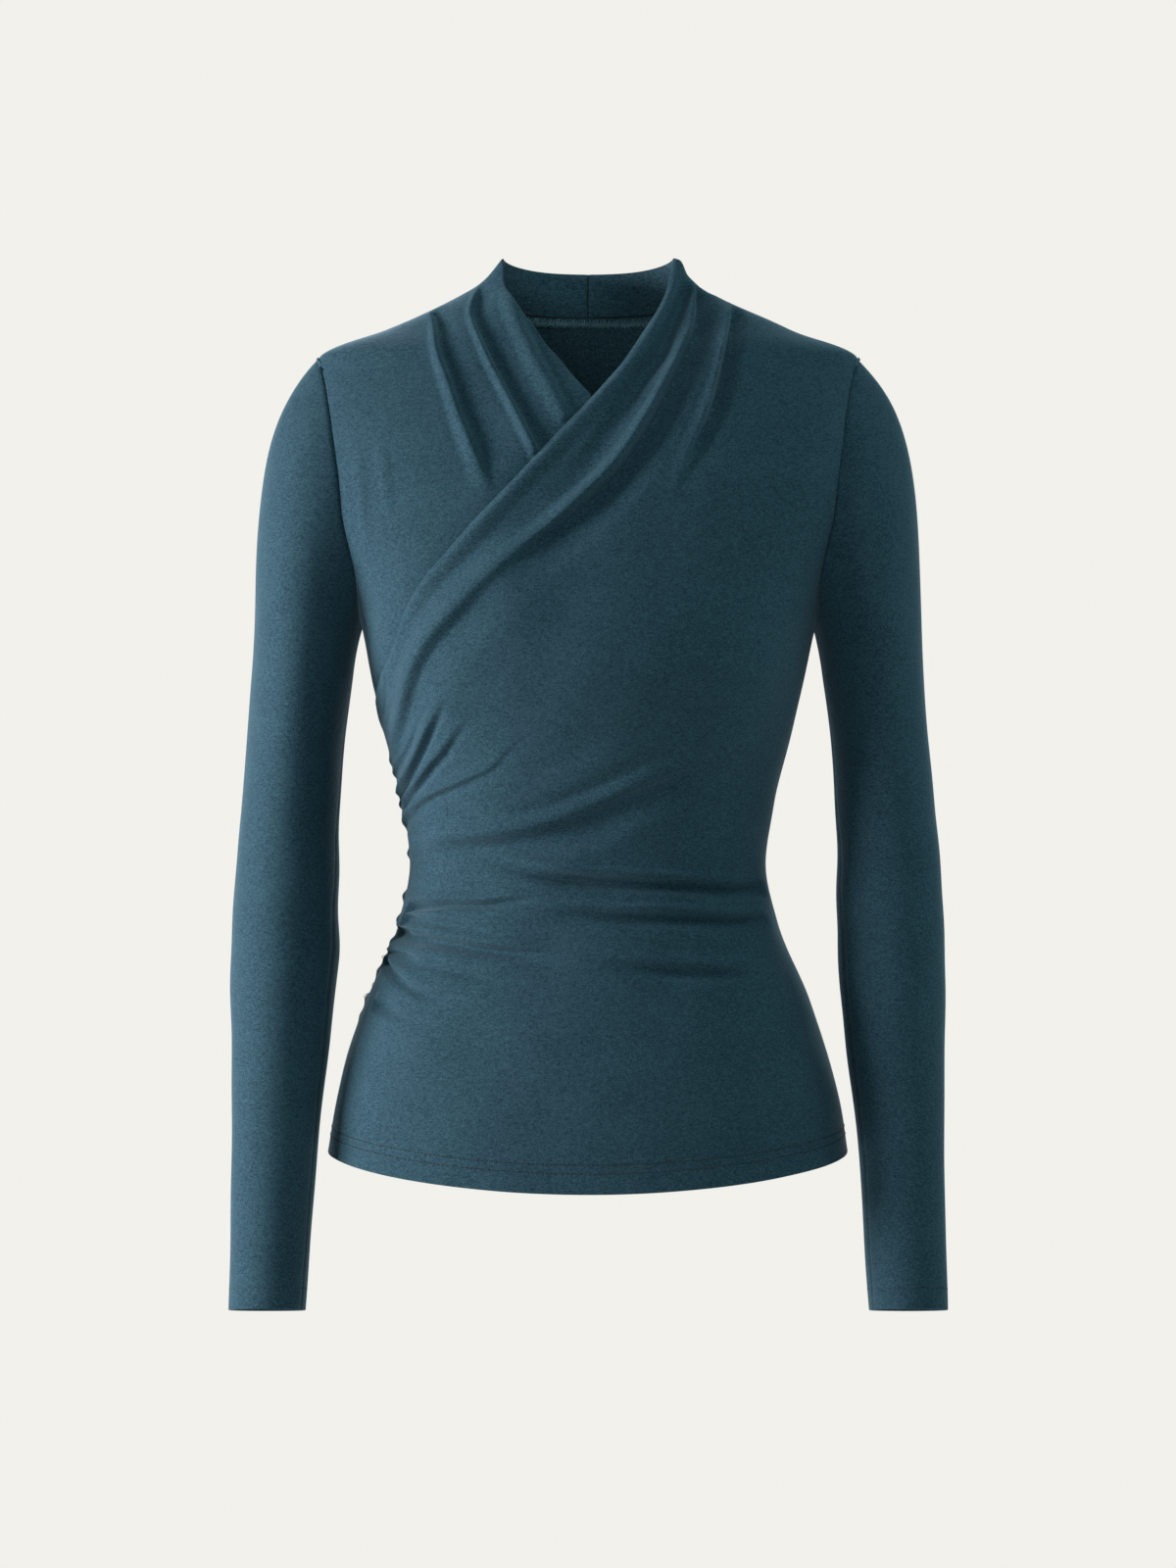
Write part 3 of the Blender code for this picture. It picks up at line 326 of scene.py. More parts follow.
def unrolled(places):
    """Theta and level as distances on the unrolled cloth: round from the centre front, and up."""
    radius, bow = girth(places[..., 1])
    return np.stack([radius * places[..., 0] + bow * np.sin(2 * places[..., 0]), places[..., 1]], axis=-1)


def rolled(flat):
    radius, bow = girth(flat[..., 1])
    theta = flat[..., 0] / radius
    for _ in range(40):
        theta = (flat[..., 0] - bow * np.sin(2 * theta)) / radius
    return np.stack([theta, flat[..., 1]], axis=-1)


def even_out(grid, passes):
    """Moves the inner points of a layout until its rows and columns spread evenly and never cross."""
    for _ in range(passes):
        down = (grid[2:, 1:-1] - grid[:-2, 1:-1]) / 2
        across = (grid[1:-1, 2:] - grid[1:-1, :-2]) / 2
        across2, down2 = (across**2).sum(-1, keepdims=True), (down**2).sum(-1, keepdims=True)
        mixed = (across * down).sum(-1, keepdims=True)
        twist = (grid[2:, 2:] - grid[2:, :-2] - grid[:-2, 2:] + grid[:-2, :-2]) / 2
        middle = (
            across2 * (grid[2:, 1:-1] + grid[:-2, 1:-1])
            + down2 * (grid[1:-1, 2:] + grid[1:-1, :-2])
            - mixed * twist
        ) / (2 * (across2 + down2))
        grid[1:-1, 1:-1] += 0.9 * (middle - grid[1:-1, 1:-1])
    return grid


def respaced(grid, shares):
    """Each row of a layout divided again, at the given shares of its own length."""
    ways = travelled(grid, axis=1)
    return np.array([at_distance(row, way, shares * way[-1]) for row, way in zip(grid, ways)])


def shares_near_seams(count, crowded=1.0):
    """An odd number of shares from 0 to 1, with extra ones right beside the seams at both ends.

    crowded is how many times closer they lie in the last half than in the first.
    """
    even = np.linspace(0, 1, 400)
    weight = 1 + (crowded - 1) * smooth_step((even - 0.3) / 0.3)
    reach = np.append(0, np.cumsum(weight[:-1] + weight[1:]))
    shares = np.interp(np.linspace(0, 1, count + 1), reach / reach[-1], even)
    extra = np.array(SEAM_COLUMNS) / FRONT_WIDTH
    keep = shares[(shares > extra[-1] * 1.3) & (shares < 1 - extra[-1] * 1.3)]
    if len(keep) % 2 == 0:
        widest = np.diff(keep).argmax()
        keep = np.insert(keep, widest + 1, keep[widest : widest + 2].mean())
    return np.concatenate([[0.0], extra, keep, 1 - extra[::-1], [1.0]])


def line_on_torso(places, count=48):
    return through(torso(*np.array(places).T), count)


def signed_distance(line, points, normals):
    """Distance of points to a line, and the share of it that is walked there.

    It is positive on the left of someone who walks the line on the outside of the cloth.
    """
    start, way = line[:-1], np.diff(line, axis=0)
    length = np.linalg.norm(way, axis=1)
    offset = points[:, None, :] - start
    t = np.clip((offset * way).sum(-1) / length**2, 0, 1)
    offset = offset - t[..., None] * way
    best = (offset**2).sum(-1).argmin(axis=1)
    pick = np.arange(len(points))
    gone = travelled(line)
    share = (gone[best] + t[pick, best] * length[best]) / gone[-1]
    offset = offset[pick, best]
    side = (np.cross(normals, way[best]) * offset).sum(-1)
    return np.copysign(np.linalg.norm(offset, axis=-1), side), share


def fold_height(fold, distance, share):
    width = np.where(distance > 0, fold.left, fold.right) * (1 + (fold.spread - 1) * share)
    return fold.height * bell(distance / width)


def crease_height(crease, distance, share):
    distance = distance / (1 + (crease.spread - 1) * share)
    lip = crease.lip * bell(distance / np.where(distance < 0, 1.7 * crease.lip_width, 0.9 * crease.steep))
    if crease.bloom:
        lip = lip * (0.3 + 0.7 * smooth_step(share / crease.bloom))
    drop = crease.drop * smooth_step(distance / crease.steep)
    drop = drop * (1 - smooth_step((distance - crease.steep) / crease.recover))
    return np.where(distance > 0, lip - drop, lip)


def reach_of(item):
    if isinstance(item, Fold):
        return max(item.left, item.right) * max(item.spread, 1.0)
    return max(1.7 * item.lip_width, item.steep + item.recover) * max(item.spread, 1.0)


def relief(items, points, normals, at_back=False):
    """Height of all the folds and creases over the form."""
    flat, flat_normals = points.reshape(-1, 3), normals.reshape(-1, 3)
    height = np.zeros(len(flat))
    for item in items:
        line = line_on_torso([place_on_torso(x, z, at_back) for x, z in item.route])
        reach = reach_of(item)
        close = np.flatnonzero(((flat > line.min(0) - reach) & (flat < line.max(0) + reach)).all(-1))
        if len(close):
            distance, share = signed_distance(line, flat[close], flat_normals[close])
            shape = (fold_height if isinstance(item, Fold) else crease_height)(item, distance, share)
            height[close] += shape * smooth_step(share / item.rise) * smooth_step((1 - share) / item.fall)
    return height.reshape(points.shape[:-1])


def puckers(points, theta):
    """Small puckers beside the gathered side seam, longer on the front than on the back."""
    height = np.zeros(points.shape[:-1])
    off_seam = np.angle(np.exp(1j * (theta + np.pi / 2)))
    distance = off_seam * np.abs(points[..., 0]).clip(60)
    fade = np.where(distance > 0, bell(distance / 15.0), bell(distance / 9.0))
    for level, rise in PUCKERS:
        drift = np.where(distance > 0, 0.32 * distance * (0.6 if level > -370 else -0.3), 0)
        off_pucker = (points[..., 2] - level - drift) / PUCKER_WIDTH
        height += PUCKER_STRENGTH * rise * np.exp(-(off_pucker**2)) * fade
    return height


WAVES = np.random.default_rng(41)
WAVE_WAYS = unit(WAVES.normal(size=(26, 3)))
WAVE_LENGTHS = WAVES.uniform(26, 90, 26)
WAVE_STARTS = WAVES.uniform(0, 2 * np.pi, 26)
SLACK = 0.0125


def slack(points):
    """The slight unevenness of soft cloth."""
    phase = points @ (WAVE_WAYS * (2 * np.pi / WAVE_LENGTHS[:, None])).T + WAVE_STARTS
    return SLACK * (np.sin(phase) * np.sqrt(WAVE_LENGTHS)).sum(-1)


def edge_places(edge):
    """Theta and level down a front's free edge, from the top of the collar to the side seam."""
    return [(np.pi / 2, COLLAR_TOP), *(place_on_torso(x, z) for x, z in edge), (-np.pi / 2, WRAP_END)]


OVER_EDGE_LINE = line_on_torso(edge_places(OVER_EDGE), 120)


def overlap_distance(points, normals):
    """Distance in from the free edge of the upper front, positive under that front."""
    flat = signed_distance(OVER_EDGE_LINE, points.reshape(-1, 3), normals.reshape(-1, 3))[0]
    return flat.reshape(points.shape[:-1])


def over_height(points, normals, theta):
    """Height of the upper front over the form: its folds, the lift on the lower front and the rolled edge."""
    distance = overlap_distance(points, normals)
    on_lower_front = ramp(points[..., 0], 28, 4) * ramp(points[..., 0], -138, -124)
    lift = LIFT * on_lower_front * smooth_step(1 - distance / LIFT_WIDTH)
    roll_width = np.where(distance < ROLL_MIDDLE, ROLL_OUT, ROLL_IN)
    roll = ROLL * bell((distance - ROLL_MIDDLE) / roll_width) * (0.5 + 0.5 * ramp(points[..., 2], -205, -155))
    at_front = ramp(np.cos(theta), -0.05, 0.05)
    height = relief(OVER_FOLDS + OVER_CREASES, points, normals) + puckers(points, theta)
    return height + (lift + roll) * at_front + slack(points)


def under_height(points, normals, theta):
    """Height of the lower front, which sinks in and stays clear where the upper front covers it."""
    distance = overlap_distance(points, normals)
    below_tip = ramp(points[..., 2], -24, -76)
    at_seam = ramp(points[..., 0], -118, -134)
    sink = SINK * smooth_step((distance - SINK_START) / SINK_WIDTH)
    sink += SINK_AT_SEAM * at_seam * ramp(distance, SINK_START, 0)
    height = relief(UNDER_FOLDS + UNDER_CREASES, points, normals) + slack(points) - sink * below_tip
    covered = ramp(distance, -4, 0) * below_tip
    room = over_height(points, normals, theta) - WALL - AIR
    return height - covered * np.maximum(height - room, 0)


def back_height(points, normals, theta):
    height = relief(BACK_FOLDS + BACK_CREASES, points, normals, at_back=True)
    return height + puckers(points, theta) + slack(points)


def collar_height(points, normals, theta):
    return slack(points)


# ---- armholes and sleeves


def armhole_place(turn):
    """Theta and level on the armhole's edge. Turn is 0 at the shoulder, 90 degrees at the front."""
    middle, half_height = (SHOULDER_POINT + UNDERARM) / 2, (SHOULDER_POINT - UNDERARM) / 2
    at_front = np.sin(turn) > 0
    depth = np.where(at_front, ARMHOLE_FRONT, ARMHOLE_BACK)
    scoop = np.where(at_front, SCOOP_FRONT, SCOOP_BACK)
    theta = np.radians(90.0 - depth * np.sin(turn) * (1 - scoop * np.cos(turn)))
    return theta, middle + half_height * np.cos(turn)


def sleeve_ring(turn, level):
    middle_x, middle_y, half_width, half_depth, lean = read_table(SLEEVE_RINGS, level)
    forward = half_depth * np.sin(turn)
    lean = np.radians(lean)
    x = middle_x + half_width * np.cos(turn)
    y = middle_y - forward * np.cos(lean)
    z = level + forward * np.sin(lean)
    return np.stack([x, y, z], axis=-1)


def sleeve(turn, share):
    """Point of the sleeve at +X: share runs from 0 at the armhole, over the cap to 1, to 2 at the cuff."""
    turn, share = np.broadcast_arrays(np.asarray(turn, float), np.asarray(share, float))
    first, last = SLEEVE_RINGS[0][0], SLEEVE_RINGS[-1][0]
    start = torso(*armhole_place(turn))
    end = sleeve_ring(turn, first)
    end_way = unit(end - sleeve_ring(turn, first - 8.0))
    top_share = ((1 + np.cos(turn)) / 2)[..., None]
    start_way = top_share * np.array(CAP_TOP_WAY) + (1 - top_share) * np.array(CAP_UNDERARM_WAY)
    outer_way, bulge, level_way = CAP_SIDE_WAY
    sideways = np.abs(np.sin(turn))
    start_way = start_way + np.stack([outer_way * sideways, -bulge * np.sin(turn), level_way * sideways], -1)
    span = np.linalg.norm(end - start, axis=-1, keepdims=True)
    near_start = start + unit(start_way) * CAP_START_PULL * span
    near_end = end + end_way * CAP_END_PULL * span
    t = np.clip(share, 0, 1)[..., None]
    cap = (
        (1 - t) ** 3 * start + 3 * (1 - t) ** 2 * t * near_start + 3 * (1 - t) * t**2 * near_end + t**3 * end
    )
    arm = sleeve_ring(turn, first + (last - first) * np.clip(share - 1, 0, 1))
    return np.where((share < 1)[..., None], cap, arm)


def sleeve_outward(turn, share, step=0.004):
    round_way = sleeve(turn + step, share) - sleeve(turn - step, share)
    low = np.maximum(np.asarray(share, float) - step, 0.0)
    down_way = sleeve(turn, low + 2 * step) - sleeve(turn, low)
    return unit(np.cross(round_way, down_way))


def armhole_seam(turn):
    """The armhole at +X: its line, the way across it into the sleeve, and the way into the cloth."""
    theta, level = armhole_place(turn)
    line = torso(theta, level)
    torso_normal = outward(theta, level)
    sleeve_normal = sleeve_outward(turn, np.zeros_like(turn))
    along = unit(torso(*armhole_place(turn + 0.01)) - torso(*armhole_place(turn - 0.01)))
    into_sleeve = unit(np.cross(along, sleeve_normal))
    into_sleeve *= np.sign((into_sleeve * (sleeve(turn, 0.05) - line)).sum(-1, keepdims=True))
    hole_middle = torso(*armhole_place(np.radians([0, 180]))).mean(axis=0)
    into_torso = unit(np.cross(along, torso_normal))
    into_torso *= np.sign((into_torso * (line - hole_middle)).sum(-1, keepdims=True))
    across = unit(into_sleeve - into_torso)
    mitre = unit(torso_normal + sleeve_normal)
    stretch = 1 / np.maximum((mitre * torso_normal).sum(-1, keepdims=True), 0.75)
    return line, across, mitre * stretch


def seam_groove(distance):
    return GROOVE_DEPTH * np.clip(1 - distance / GROOVE_WIDTH, 0, 1) ** 2


# ---- closed shells


def vertex_normals(points, quads):
    a, b, c, d = (points[quads[:, k]] for k in range(4))
    face = np.cross(c - a, d - b)
    normals = np.zeros_like(points)
    for k in range(4):
        np.add.at(normals, quads[:, k], face)
    return unit(normals)


def lowest_neighbour(points, quads, normals):
    """How far the nearest points around each point lie below it, at most 0."""
    low = np.zeros(len(points))
    for a, b in ((0, 1), (1, 2), (2, 3), (3, 0), (0, 2), (1, 3)):
        for here, there in ((quads[:, a], quads[:, b]), (quads[:, b], quads[:, a])):
            drop = (normals[here] * (points[there] - points[here])).sum(-1)
            np.minimum.at(low, here, drop)
    return low


def open_edges(quads, count):
    first, second = quads.reshape(-1), np.roll(quads, -1, axis=1).reshape(-1)
    alone = ~np.isin(first * count + second, second * count + first)
    return first[alone], second[alone]


def grid_quads(corner):
    return np.stack([corner[:-1, :-1], corner[:-1, 1:], corner[1:, 1:], corner[1:, :-1]], -1).reshape(-1, 4)


def tube_quads(corner):
    return grid_quads(np.append(corner, corner[:, :1], axis=1))


def both_skins(grids, turned, quads=grid_quads):
    """Faces on grids of points, and those of the inner skin, on every second row and column."""
    outer, inner = (np.concatenate([quads(grid[::k, ::k]) for grid in grids]) for k in (1, 2))
    return (outer[:, ::-1], inner[:, ::-1]) if turned else (outer, inner)


def shell(name, outer, quads, inner_quads, free, fixed, fixed_inner):
    """A closed wall under an outer skin of four-sided faces, its free edges rounded over.

    free holds the numbers of the points where the cloth ends freely, and fixed those of the points with
    a given place fixed_inner on the inner skin.
    """
    count = len(outer)
    normals = vertex_normals(outer, quads)
    depth = WALL - np.maximum(lowest_neighbour(outer, quads, normals), -DEEPEST_DENT)
    inner = outer - normals * depth[:, None]
    first, second = open_edges(quads, count)
    rim = np.unique(np.concatenate([first, second]))
    inner[rim] = outer[rim] - normals[rim] * WALL
    inner[fixed] = fixed_inner
    order = np.full(count, -1)
    order[rim] = np.arange(len(rim))
    along = np.zeros((len(rim), 3))
    step = unit(outer[second] - outer[first])
    np.add.at(along, order[first], step)
    np.add.at(along, order[second], step)
    middle, radius = (outer[rim] + inner[rim]) / 2, (outer[rim] - inner[rim]) / 2
    rounding = np.where(np.isin(rim, free), FREE_ROUNDING, SEWN_ROUNDING) * np.linalg.norm(radius, axis=1)
    away = unit(np.cross(along, normals[rim])) * rounding[:, None]
    arcs = [middle + np.cos(angle) * radius + np.sin(angle) * away for angle in np.radians([45, 90, 135])]
    bands = [rim, *(count + len(rim) * k + np.arange(len(rim)) for k in range(3))]
    a, b, last = order[first], order[second], bands[-1]
    edges = [np.stack([high[b], high[a], low[a], low[b]], axis=1) for high, low in zip(bands, bands[1:])]
    used = np.unique(inner_quads)
    number = np.full(count, -1)
    number[used] = count + len(rim) * 3 + np.arange(len(used))
    after = np.full(count, -1)
    after[first] = second
    start, end = open_edges(inner_quads, count)
    join = [*(last[order[place]] for place in (end, after[start], start)), number[start], number[end]]
    faces = [quads, np.concatenate(edges), np.stack(join, axis=1), number[inner_quads[:, ::-1]]]
    return mesh_object(name, np.concatenate([outer, *arcs, inner[used]]), faces, CLOTH, (0, 0, 0, 1))


def mesh_object(name, points, faces, materials, slots=(0,), sharp=60):
    """A smooth mesh from points in millimetres and arrays of faces, each with its material slot."""
    mesh = bpy.data.meshes.new(name)
    corners = np.concatenate([some.ravel() for some in faces]).astype(np.int32)
    sizes = np.repeat([some.shape[1] for some in faces], [len(some) for some in faces])
    mesh.vertices.add(len(points))
    mesh.vertices.foreach_set("co", (points * MM).astype(np.float32).ravel())
    mesh.loops.add(len(corners))
    mesh.loops.foreach_set("vertex_index", corners)
    mesh.polygons.add(len(sizes))
    mesh.polygons.foreach_set("loop_start", np.append(0, np.cumsum(sizes)[:-1]).astype(np.int32))
    slot = np.repeat(slots, [len(some) for some in faces])
    mesh.polygons.foreach_set("material_index", slot.astype(np.int32))
    mesh.update(calc_edges=True)
    mesh.validate()
    mesh.shade_smooth()
    if sharp:
        mesh.set_sharp_from_angle(angle=np.radians(sharp))
    for material in materials:
        mesh.materials.append(material)
    made = bpy.data.objects.new(name, mesh)
    bpy.context.collection.objects.link(made)
    return made


def threads(name, material, lines):
    """Many threads as one piece, four-sided tubes along lines, each with its radius or radii."""
    points, faces, count = [], [], 0
    for line, radius in lines:
        way = unit(np.gradient(line, axis=0))
        side = unit(np.cross(way, np.where(np.abs(way[:, :1]) > 0.9, [[0.0, 1, 0]], [[1.0, 0, 0]])))
        for k in range(1, len(line)):
            flat = side[k - 1] - way[k] * (side[k - 1] @ way[k])
            side[k] = flat / np.linalg.norm(flat)
        up = np.cross(way, side)
        ring = np.broadcast_to(radius, len(line))[:, None, None] * np.stack([side, up, -side, -up], axis=1)
        points.append((line[:, None] + ring).reshape(-1, 3))
        corner = count + np.arange(len(line) * 4).reshape(-1, 4)
        faces += [tube_quads(corner), corner[:1, ::-1], corner[-1:]]
        count += corner.size
    return mesh_object(name, np.concatenate(points), [np.concatenate(faces)], [material], sharp=None)


# ---- cloth and thread

SHEEN_TINT = (0.44, 0.71, 0.86, 1)


def feed(node, inputs):
    """Sets a node's inputs to values, or links them to the outputs of other nodes."""
    for name, value in inputs.items():
        if isinstance(value, bpy.types.NodeSocket):
            node.id_data.links.new(value, node.inputs[name])
        else:
            node.inputs[name].default_value = value
    return node


def new_material(name):
    material = bpy.data.materials.new(name)
    material.use_nodes = True
    return material, material.node_tree.nodes, material.node_tree.nodes["Principled BSDF"]


def noise(nodes, scale, detail=2.0, roughness=0.5, stretch=(1, 1, 1)):
    place = nodes.new("ShaderNodeTexCoord").outputs["Object"]
    mapping = feed(nodes.new("ShaderNodeMapping"), {"Vector": place, "Scale": stretch})
    values = {"Vector": mapping.outputs["Vector"], "Scale": scale, "Detail": detail, "Roughness": roughness}
    return feed(nodes.new("ShaderNodeTexNoise"), values).outputs["Fac"]


def blended(nodes, *layers):
    """The sum of noises, each times its share."""
    total = 0.0
    for layer, share in layers:
        adder = nodes.new("ShaderNodeMath")
        adder.operation = "MULTIPLY_ADD"
        total = feed(adder, {0: layer, 1: share, 2: total}).outputs[0]
    return total


def coloured(nodes, layer, low, high, dark, light):
    """A colour that is dark where a noise is below low and light where it is above high."""
    mixer = nodes.new("ShaderNodeValToRGB")
    for end, position, colour in zip(mixer.color_ramp.elements, (low, high), (dark, light)):
        end.position, end.color = position, (*colour, 1)
    return feed(mixer, {"Fac": layer}).outputs["Color"]


def jersey(name, dark, light, coarse=1.0, sheen=0.35):
    """Brushed heather jersey: two close blues mixed fibre by fibre, with a soft raised nap."""
    material, nodes, shader = new_material(name)
    speckle = noise(nodes, 1150 / coarse, roughness=0.7)
    fibres = noise(nodes, 700 / coarse, 3.0, 0.65, stretch=(0.45, 0.45, 1.6))
    clouds = noise(nodes, 38, 3.0, 0.6, stretch=(0.7, 0.7, 1.2))
    heather = blended(nodes, (speckle, 0.66), (fibres, 0.36), (clouds, 0.06))
    nap = blended(nodes, (speckle, 0.6), (fibres, 0.7))
    bump = feed(nodes.new("ShaderNodeBump"), {"Strength": 0.45, "Distance": 0.0006 * coarse, "Height": nap})
    feed(shader, {
        "Base Color": coloured(nodes, heather, 0.425, 0.655, dark, light),
        "Normal": bump.outputs["Normal"],
        "Roughness": 0.92,
        "Specular IOR Level": 0.18,
        "Sheen Weight": sheen,
        "Sheen Roughness": 0.35,
        "Sheen Tint": SHEEN_TINT,
    })
    return material


def thread_material(name, colour, sheen=0.0):
    material, nodes, shader = new_material(name)
    dark, light = (tuple(strength * part for part in colour) for strength in (0.6, 1.35))
    colour = coloured(nodes, noise(nodes, 1400), 0.3, 0.75, dark, light)
    feed(shader, {"Base Color": colour, "Roughness": 0.8, "Sheen Weight": sheen, "Sheen Tint": SHEEN_TINT})
    return material


cloth = jersey("heather_jersey", (0.0045, 0.028, 0.045), (0.032, 0.092, 0.121))
# Inside of the cloth: its coarser grain is the reverse side's own, its lighter colours are painted light
# inside the neck and hollows
inside = jersey("heather_jersey_inside_painted_lighter", (0.010, 0.046, 0.066), (0.060, 0.150, 0.190), 1.25, 0.15)
CLOTH = (cloth, inside)

# ---- the cut pieces


def half_gap(theta, level, round_way, up_way):
    """Theta and level moved half a seam gap along the form, round it or up it by the given signs."""
    angle, rise = 0.004, 0.4
    round_step = np.linalg.norm(torso(theta + angle, level) - torso(theta - angle, level), axis=-1)
    up_step = np.linalg.norm(torso(theta, level + rise) - torso(theta, level - rise), axis=-1)
    return theta + round_way * SEAM_GAP * angle / round_step, level + up_way * SEAM_GAP * rise / up_step


def side_boundary(bottom, shoulder_rows, turns, side_rows, round_way):
    """Theta and level down the edge of a panel at +X: along the shoulder, the armhole and the side."""
    shoulder = np.linspace(NECK_SEAM, SHOULDER_POINT, shoulder_rows + 1)[:-1]
    side = np.linspace(UNDERARM, bottom, side_rows + 1)[1:]
    hole_theta, hole_level = armhole_place(turns)
    level = np.concatenate([shoulder, hole_level, side])
    theta = half_gap(np.pi / 2, level, round_way, 0)[0]
    theta[shoulder_rows : shoulder_rows + len(turns)] = hole_theta
    return theta, level


def armhole_edge(turn, side, round_way):
    """The outer and inner edge of a panel at the armhole, half a gap from the seam and pulled into it."""
    line, across, inwards = armhole_seam(turn)
    theta, level = armhole_place(turn)
    corner = (np.abs(np.sin(turn)) < 1e-6)[:, None]
    from_seam = unit(torso(theta + 0.01 * round_way, level) - line)
    edge = line - across * SEAM_GAP / 2 + corner * from_seam * SEAM_GAP / 2 - inwards * GROOVE_DEPTH
    return mirrored(edge, side), mirrored(edge - inwards * WALL, side)


def front_ends(end_levels, times):
    """Both ends of a front's rows, some times finer than the coarse layout, and the armhole's turns."""
    side_rows = len(end_levels) - 1 - COLLAR_ROWS - SHOULDER_ROWS - ARMHOLE_ROWS
    turns = np.radians(np.linspace(0, 180, ARMHOLE_ROWS * times + 1))
    theta, level = side_boundary(end_levels[-1], SHOULDER_ROWS * times, turns, side_rows * times, -1)
    level[0] = half_gap(np.pi / 2, NECK_SEAM, 0, 1)[1]
    collar = np.linspace(COLLAR_TOP, NECK_SEAM, COLLAR_ROWS * times + 1)[:-1]
    start = np.stack([np.append(np.full(len(collar), np.pi / 2), theta), np.append(collar, level)], axis=-1)
    levels = np.interp(finer_rows(end_levels, times), np.arange(len(end_levels)), end_levels)
    return start, np.stack(half_gap(-np.pi / 2, levels, 1, 0), axis=-1), turns


def front_layout(edge, end_levels, columns, crowded):
    """Theta and level of every point of a front but its collar, and the armhole's turns."""
    start, end, _ = front_ends(end_levels, 1)
    shares = np.linspace(0, 1, LAYOUT_COLUMNS + 1)
    edge_curve = through(edge_places(edge), 400)
    way = travelled(torso(*edge_curve.T))
    top = at_distance(edge_curve, way, shares * way[-1])
    foot_theta = start[-1, 0] + (end[-1, 0] - start[-1, 0]) * shares
    foot = np.stack([foot_theta, np.full(len(shares), end_levels[-1])], axis=-1)
    top[0], top[-1] = start[0], end[0]
    ways = [travelled(torso(*places.T)) for places in (start, end)]
    down = sum(way / way[-1] for way in ways)[:, None, None] / 2
    top, foot, start, end = (unrolled(places) for places in (top, foot, start, end))
    across = shares[None, :, None]
    body = (
        (1 - down) * top + down * foot
        + (1 - across) * start[:, None] + across * end[:, None]
        - (1 - down) * ((1 - across) * start[0] + across * end[0])
        - down * ((1 - across) * start[-1] + across * end[-1])
    )
    body = spline(even_out(body, LAYOUT_PASSES), finer_rows(body, FINER))
    start, end, turns = front_ends(end_levels, FINER)
    body[:, 0], body[:, -1] = unrolled(start), unrolled(end)
    return rolled(respaced(even_out(body, FINER_PASSES), shares_near_seams(columns, crowded))), turns


def crossover_front(name, edge, height, side, end_levels, columns, crowded=1.0):
    """A front that starts at the centre-back collar seam on one side and crosses to the other side seam."""
    body, turns = front_layout(edge, end_levels, columns, crowded)
    collar_theta = np.linspace(half_gap(np.pi, 0.0, -1, 0)[0], np.pi / 2, COLLAR_COLUMNS + 1)[:-1]
    collar_level = np.linspace(COLLAR_TOP, NECK_SEAM, COLLAR_ROWS * FINER + 1)
    collar = np.stack(np.meshgrid(collar_theta, collar_level), axis=-1)
    collar[-1, :, 1] = half_gap(collar_theta, NECK_SEAM, 0, 1)[1]
    rows, wide = body.shape[:2]
    low = len(collar_level)
    number = np.arange(rows * wide).reshape(rows, wide)
    collar_number = rows * wide + np.arange(low * COLLAR_COLUMNS).reshape(low, -1)
    joined = np.append(collar_number, number[:low, :1], axis=1)
    theta, level = np.concatenate([body.reshape(-1, 2), collar.reshape(-1, 2)]).T
    theta = side * theta
    base, normals = torso(theta, level), outward(theta, level)

    # Every seam is pulled in: the collar's centre back and neck seam, the shoulder, the sides
    from_start = travelled(base[: rows * wide].reshape(rows, wide, 3), axis=1)
    seamed = (np.arange(rows) >= low - 1)[:, None]
    groove = np.where(seamed, seam_groove(from_start), 0) + seam_groove(from_start[:, -1:] - from_start)
    groove[low - 1] = seam_groove(from_start[low - 1])
    back_groove = seam_groove(np.abs(collar[..., 0] - np.pi) * COLLAR_RADIUS)
    collar_groove = np.maximum(back_groove, seam_groove(collar_level[:, None] - NECK_SEAM))
    lift = height(base, normals, theta) - np.append(groove, collar_groove)
    outer = base + normals * lift[:, None]

    first = (COLLAR_ROWS + SHOULDER_ROWS) * FINER
    hole = number[first : first + len(turns), 0]
    outer[hole], inner_edge = armhole_edge(turns, side, -1)
    free = np.concatenate([number[0], number[-1], collar_number[0]])
    return shell(name, outer, *both_skins([joined, number], side < 0), free, hole, inner_edge)


def back_panel(name, columns=130, shoulder_rows=30, hole_rows=70, side_rows=180):
    """The back, from the hem up between the armholes to the shoulder seams and the neck seam."""
    turns = np.radians(360 - np.linspace(0, 180, hole_rows + 1))
    theta, level = side_boundary(HEM, shoulder_rows, turns, side_rows, 1)
    level[0] = half_gap(np.pi / 2, NECK_SEAM, 0, -1)[1]
    shares = shares_near_seams(columns)
    grid_theta = theta[:, None] + (2 * np.pi - 2 * theta[:, None]) * shares
    at_hole = slice(shoulder_rows, shoulder_rows + len(turns))
    even_level = level.copy()
    even_level[at_hole] = np.linspace(SHOULDER_POINT, UNDERARM, hole_rows + 1)
    inside = smooth_step(np.minimum(shares, 1 - shares) / 0.22)
    grid_level = level[:, None] + (even_level - level)[:, None] * inside
    grid_level[0] = half_gap(grid_theta[0], NECK_SEAM, 0, -1)[1]
    base, normals = torso(grid_theta, grid_level), outward(grid_theta, grid_level)
    from_start = travelled(base, axis=1)
    groove = seam_groove(from_start) + seam_groove(from_start[:, -1:] - from_start)
    groove = np.maximum(groove, seam_groove(np.linalg.norm(base - base[:1], axis=2)))
    lift = back_height(base, normals, grid_theta) - groove
    outer = (base + normals * lift[..., None]).reshape(-1, 3)
    number = np.arange(lift.size).reshape(lift.shape)
    hole = np.append(number[at_hole, 0], number[at_hole, -1])
    edges = [armhole_edge(turns, side, 1) for side in (1, -1)]
    outer[hole], inner_edge = np.concatenate(edges, axis=1)
    return shell(name, outer, *both_skins([number], True), number[-1], hole, inner_edge)


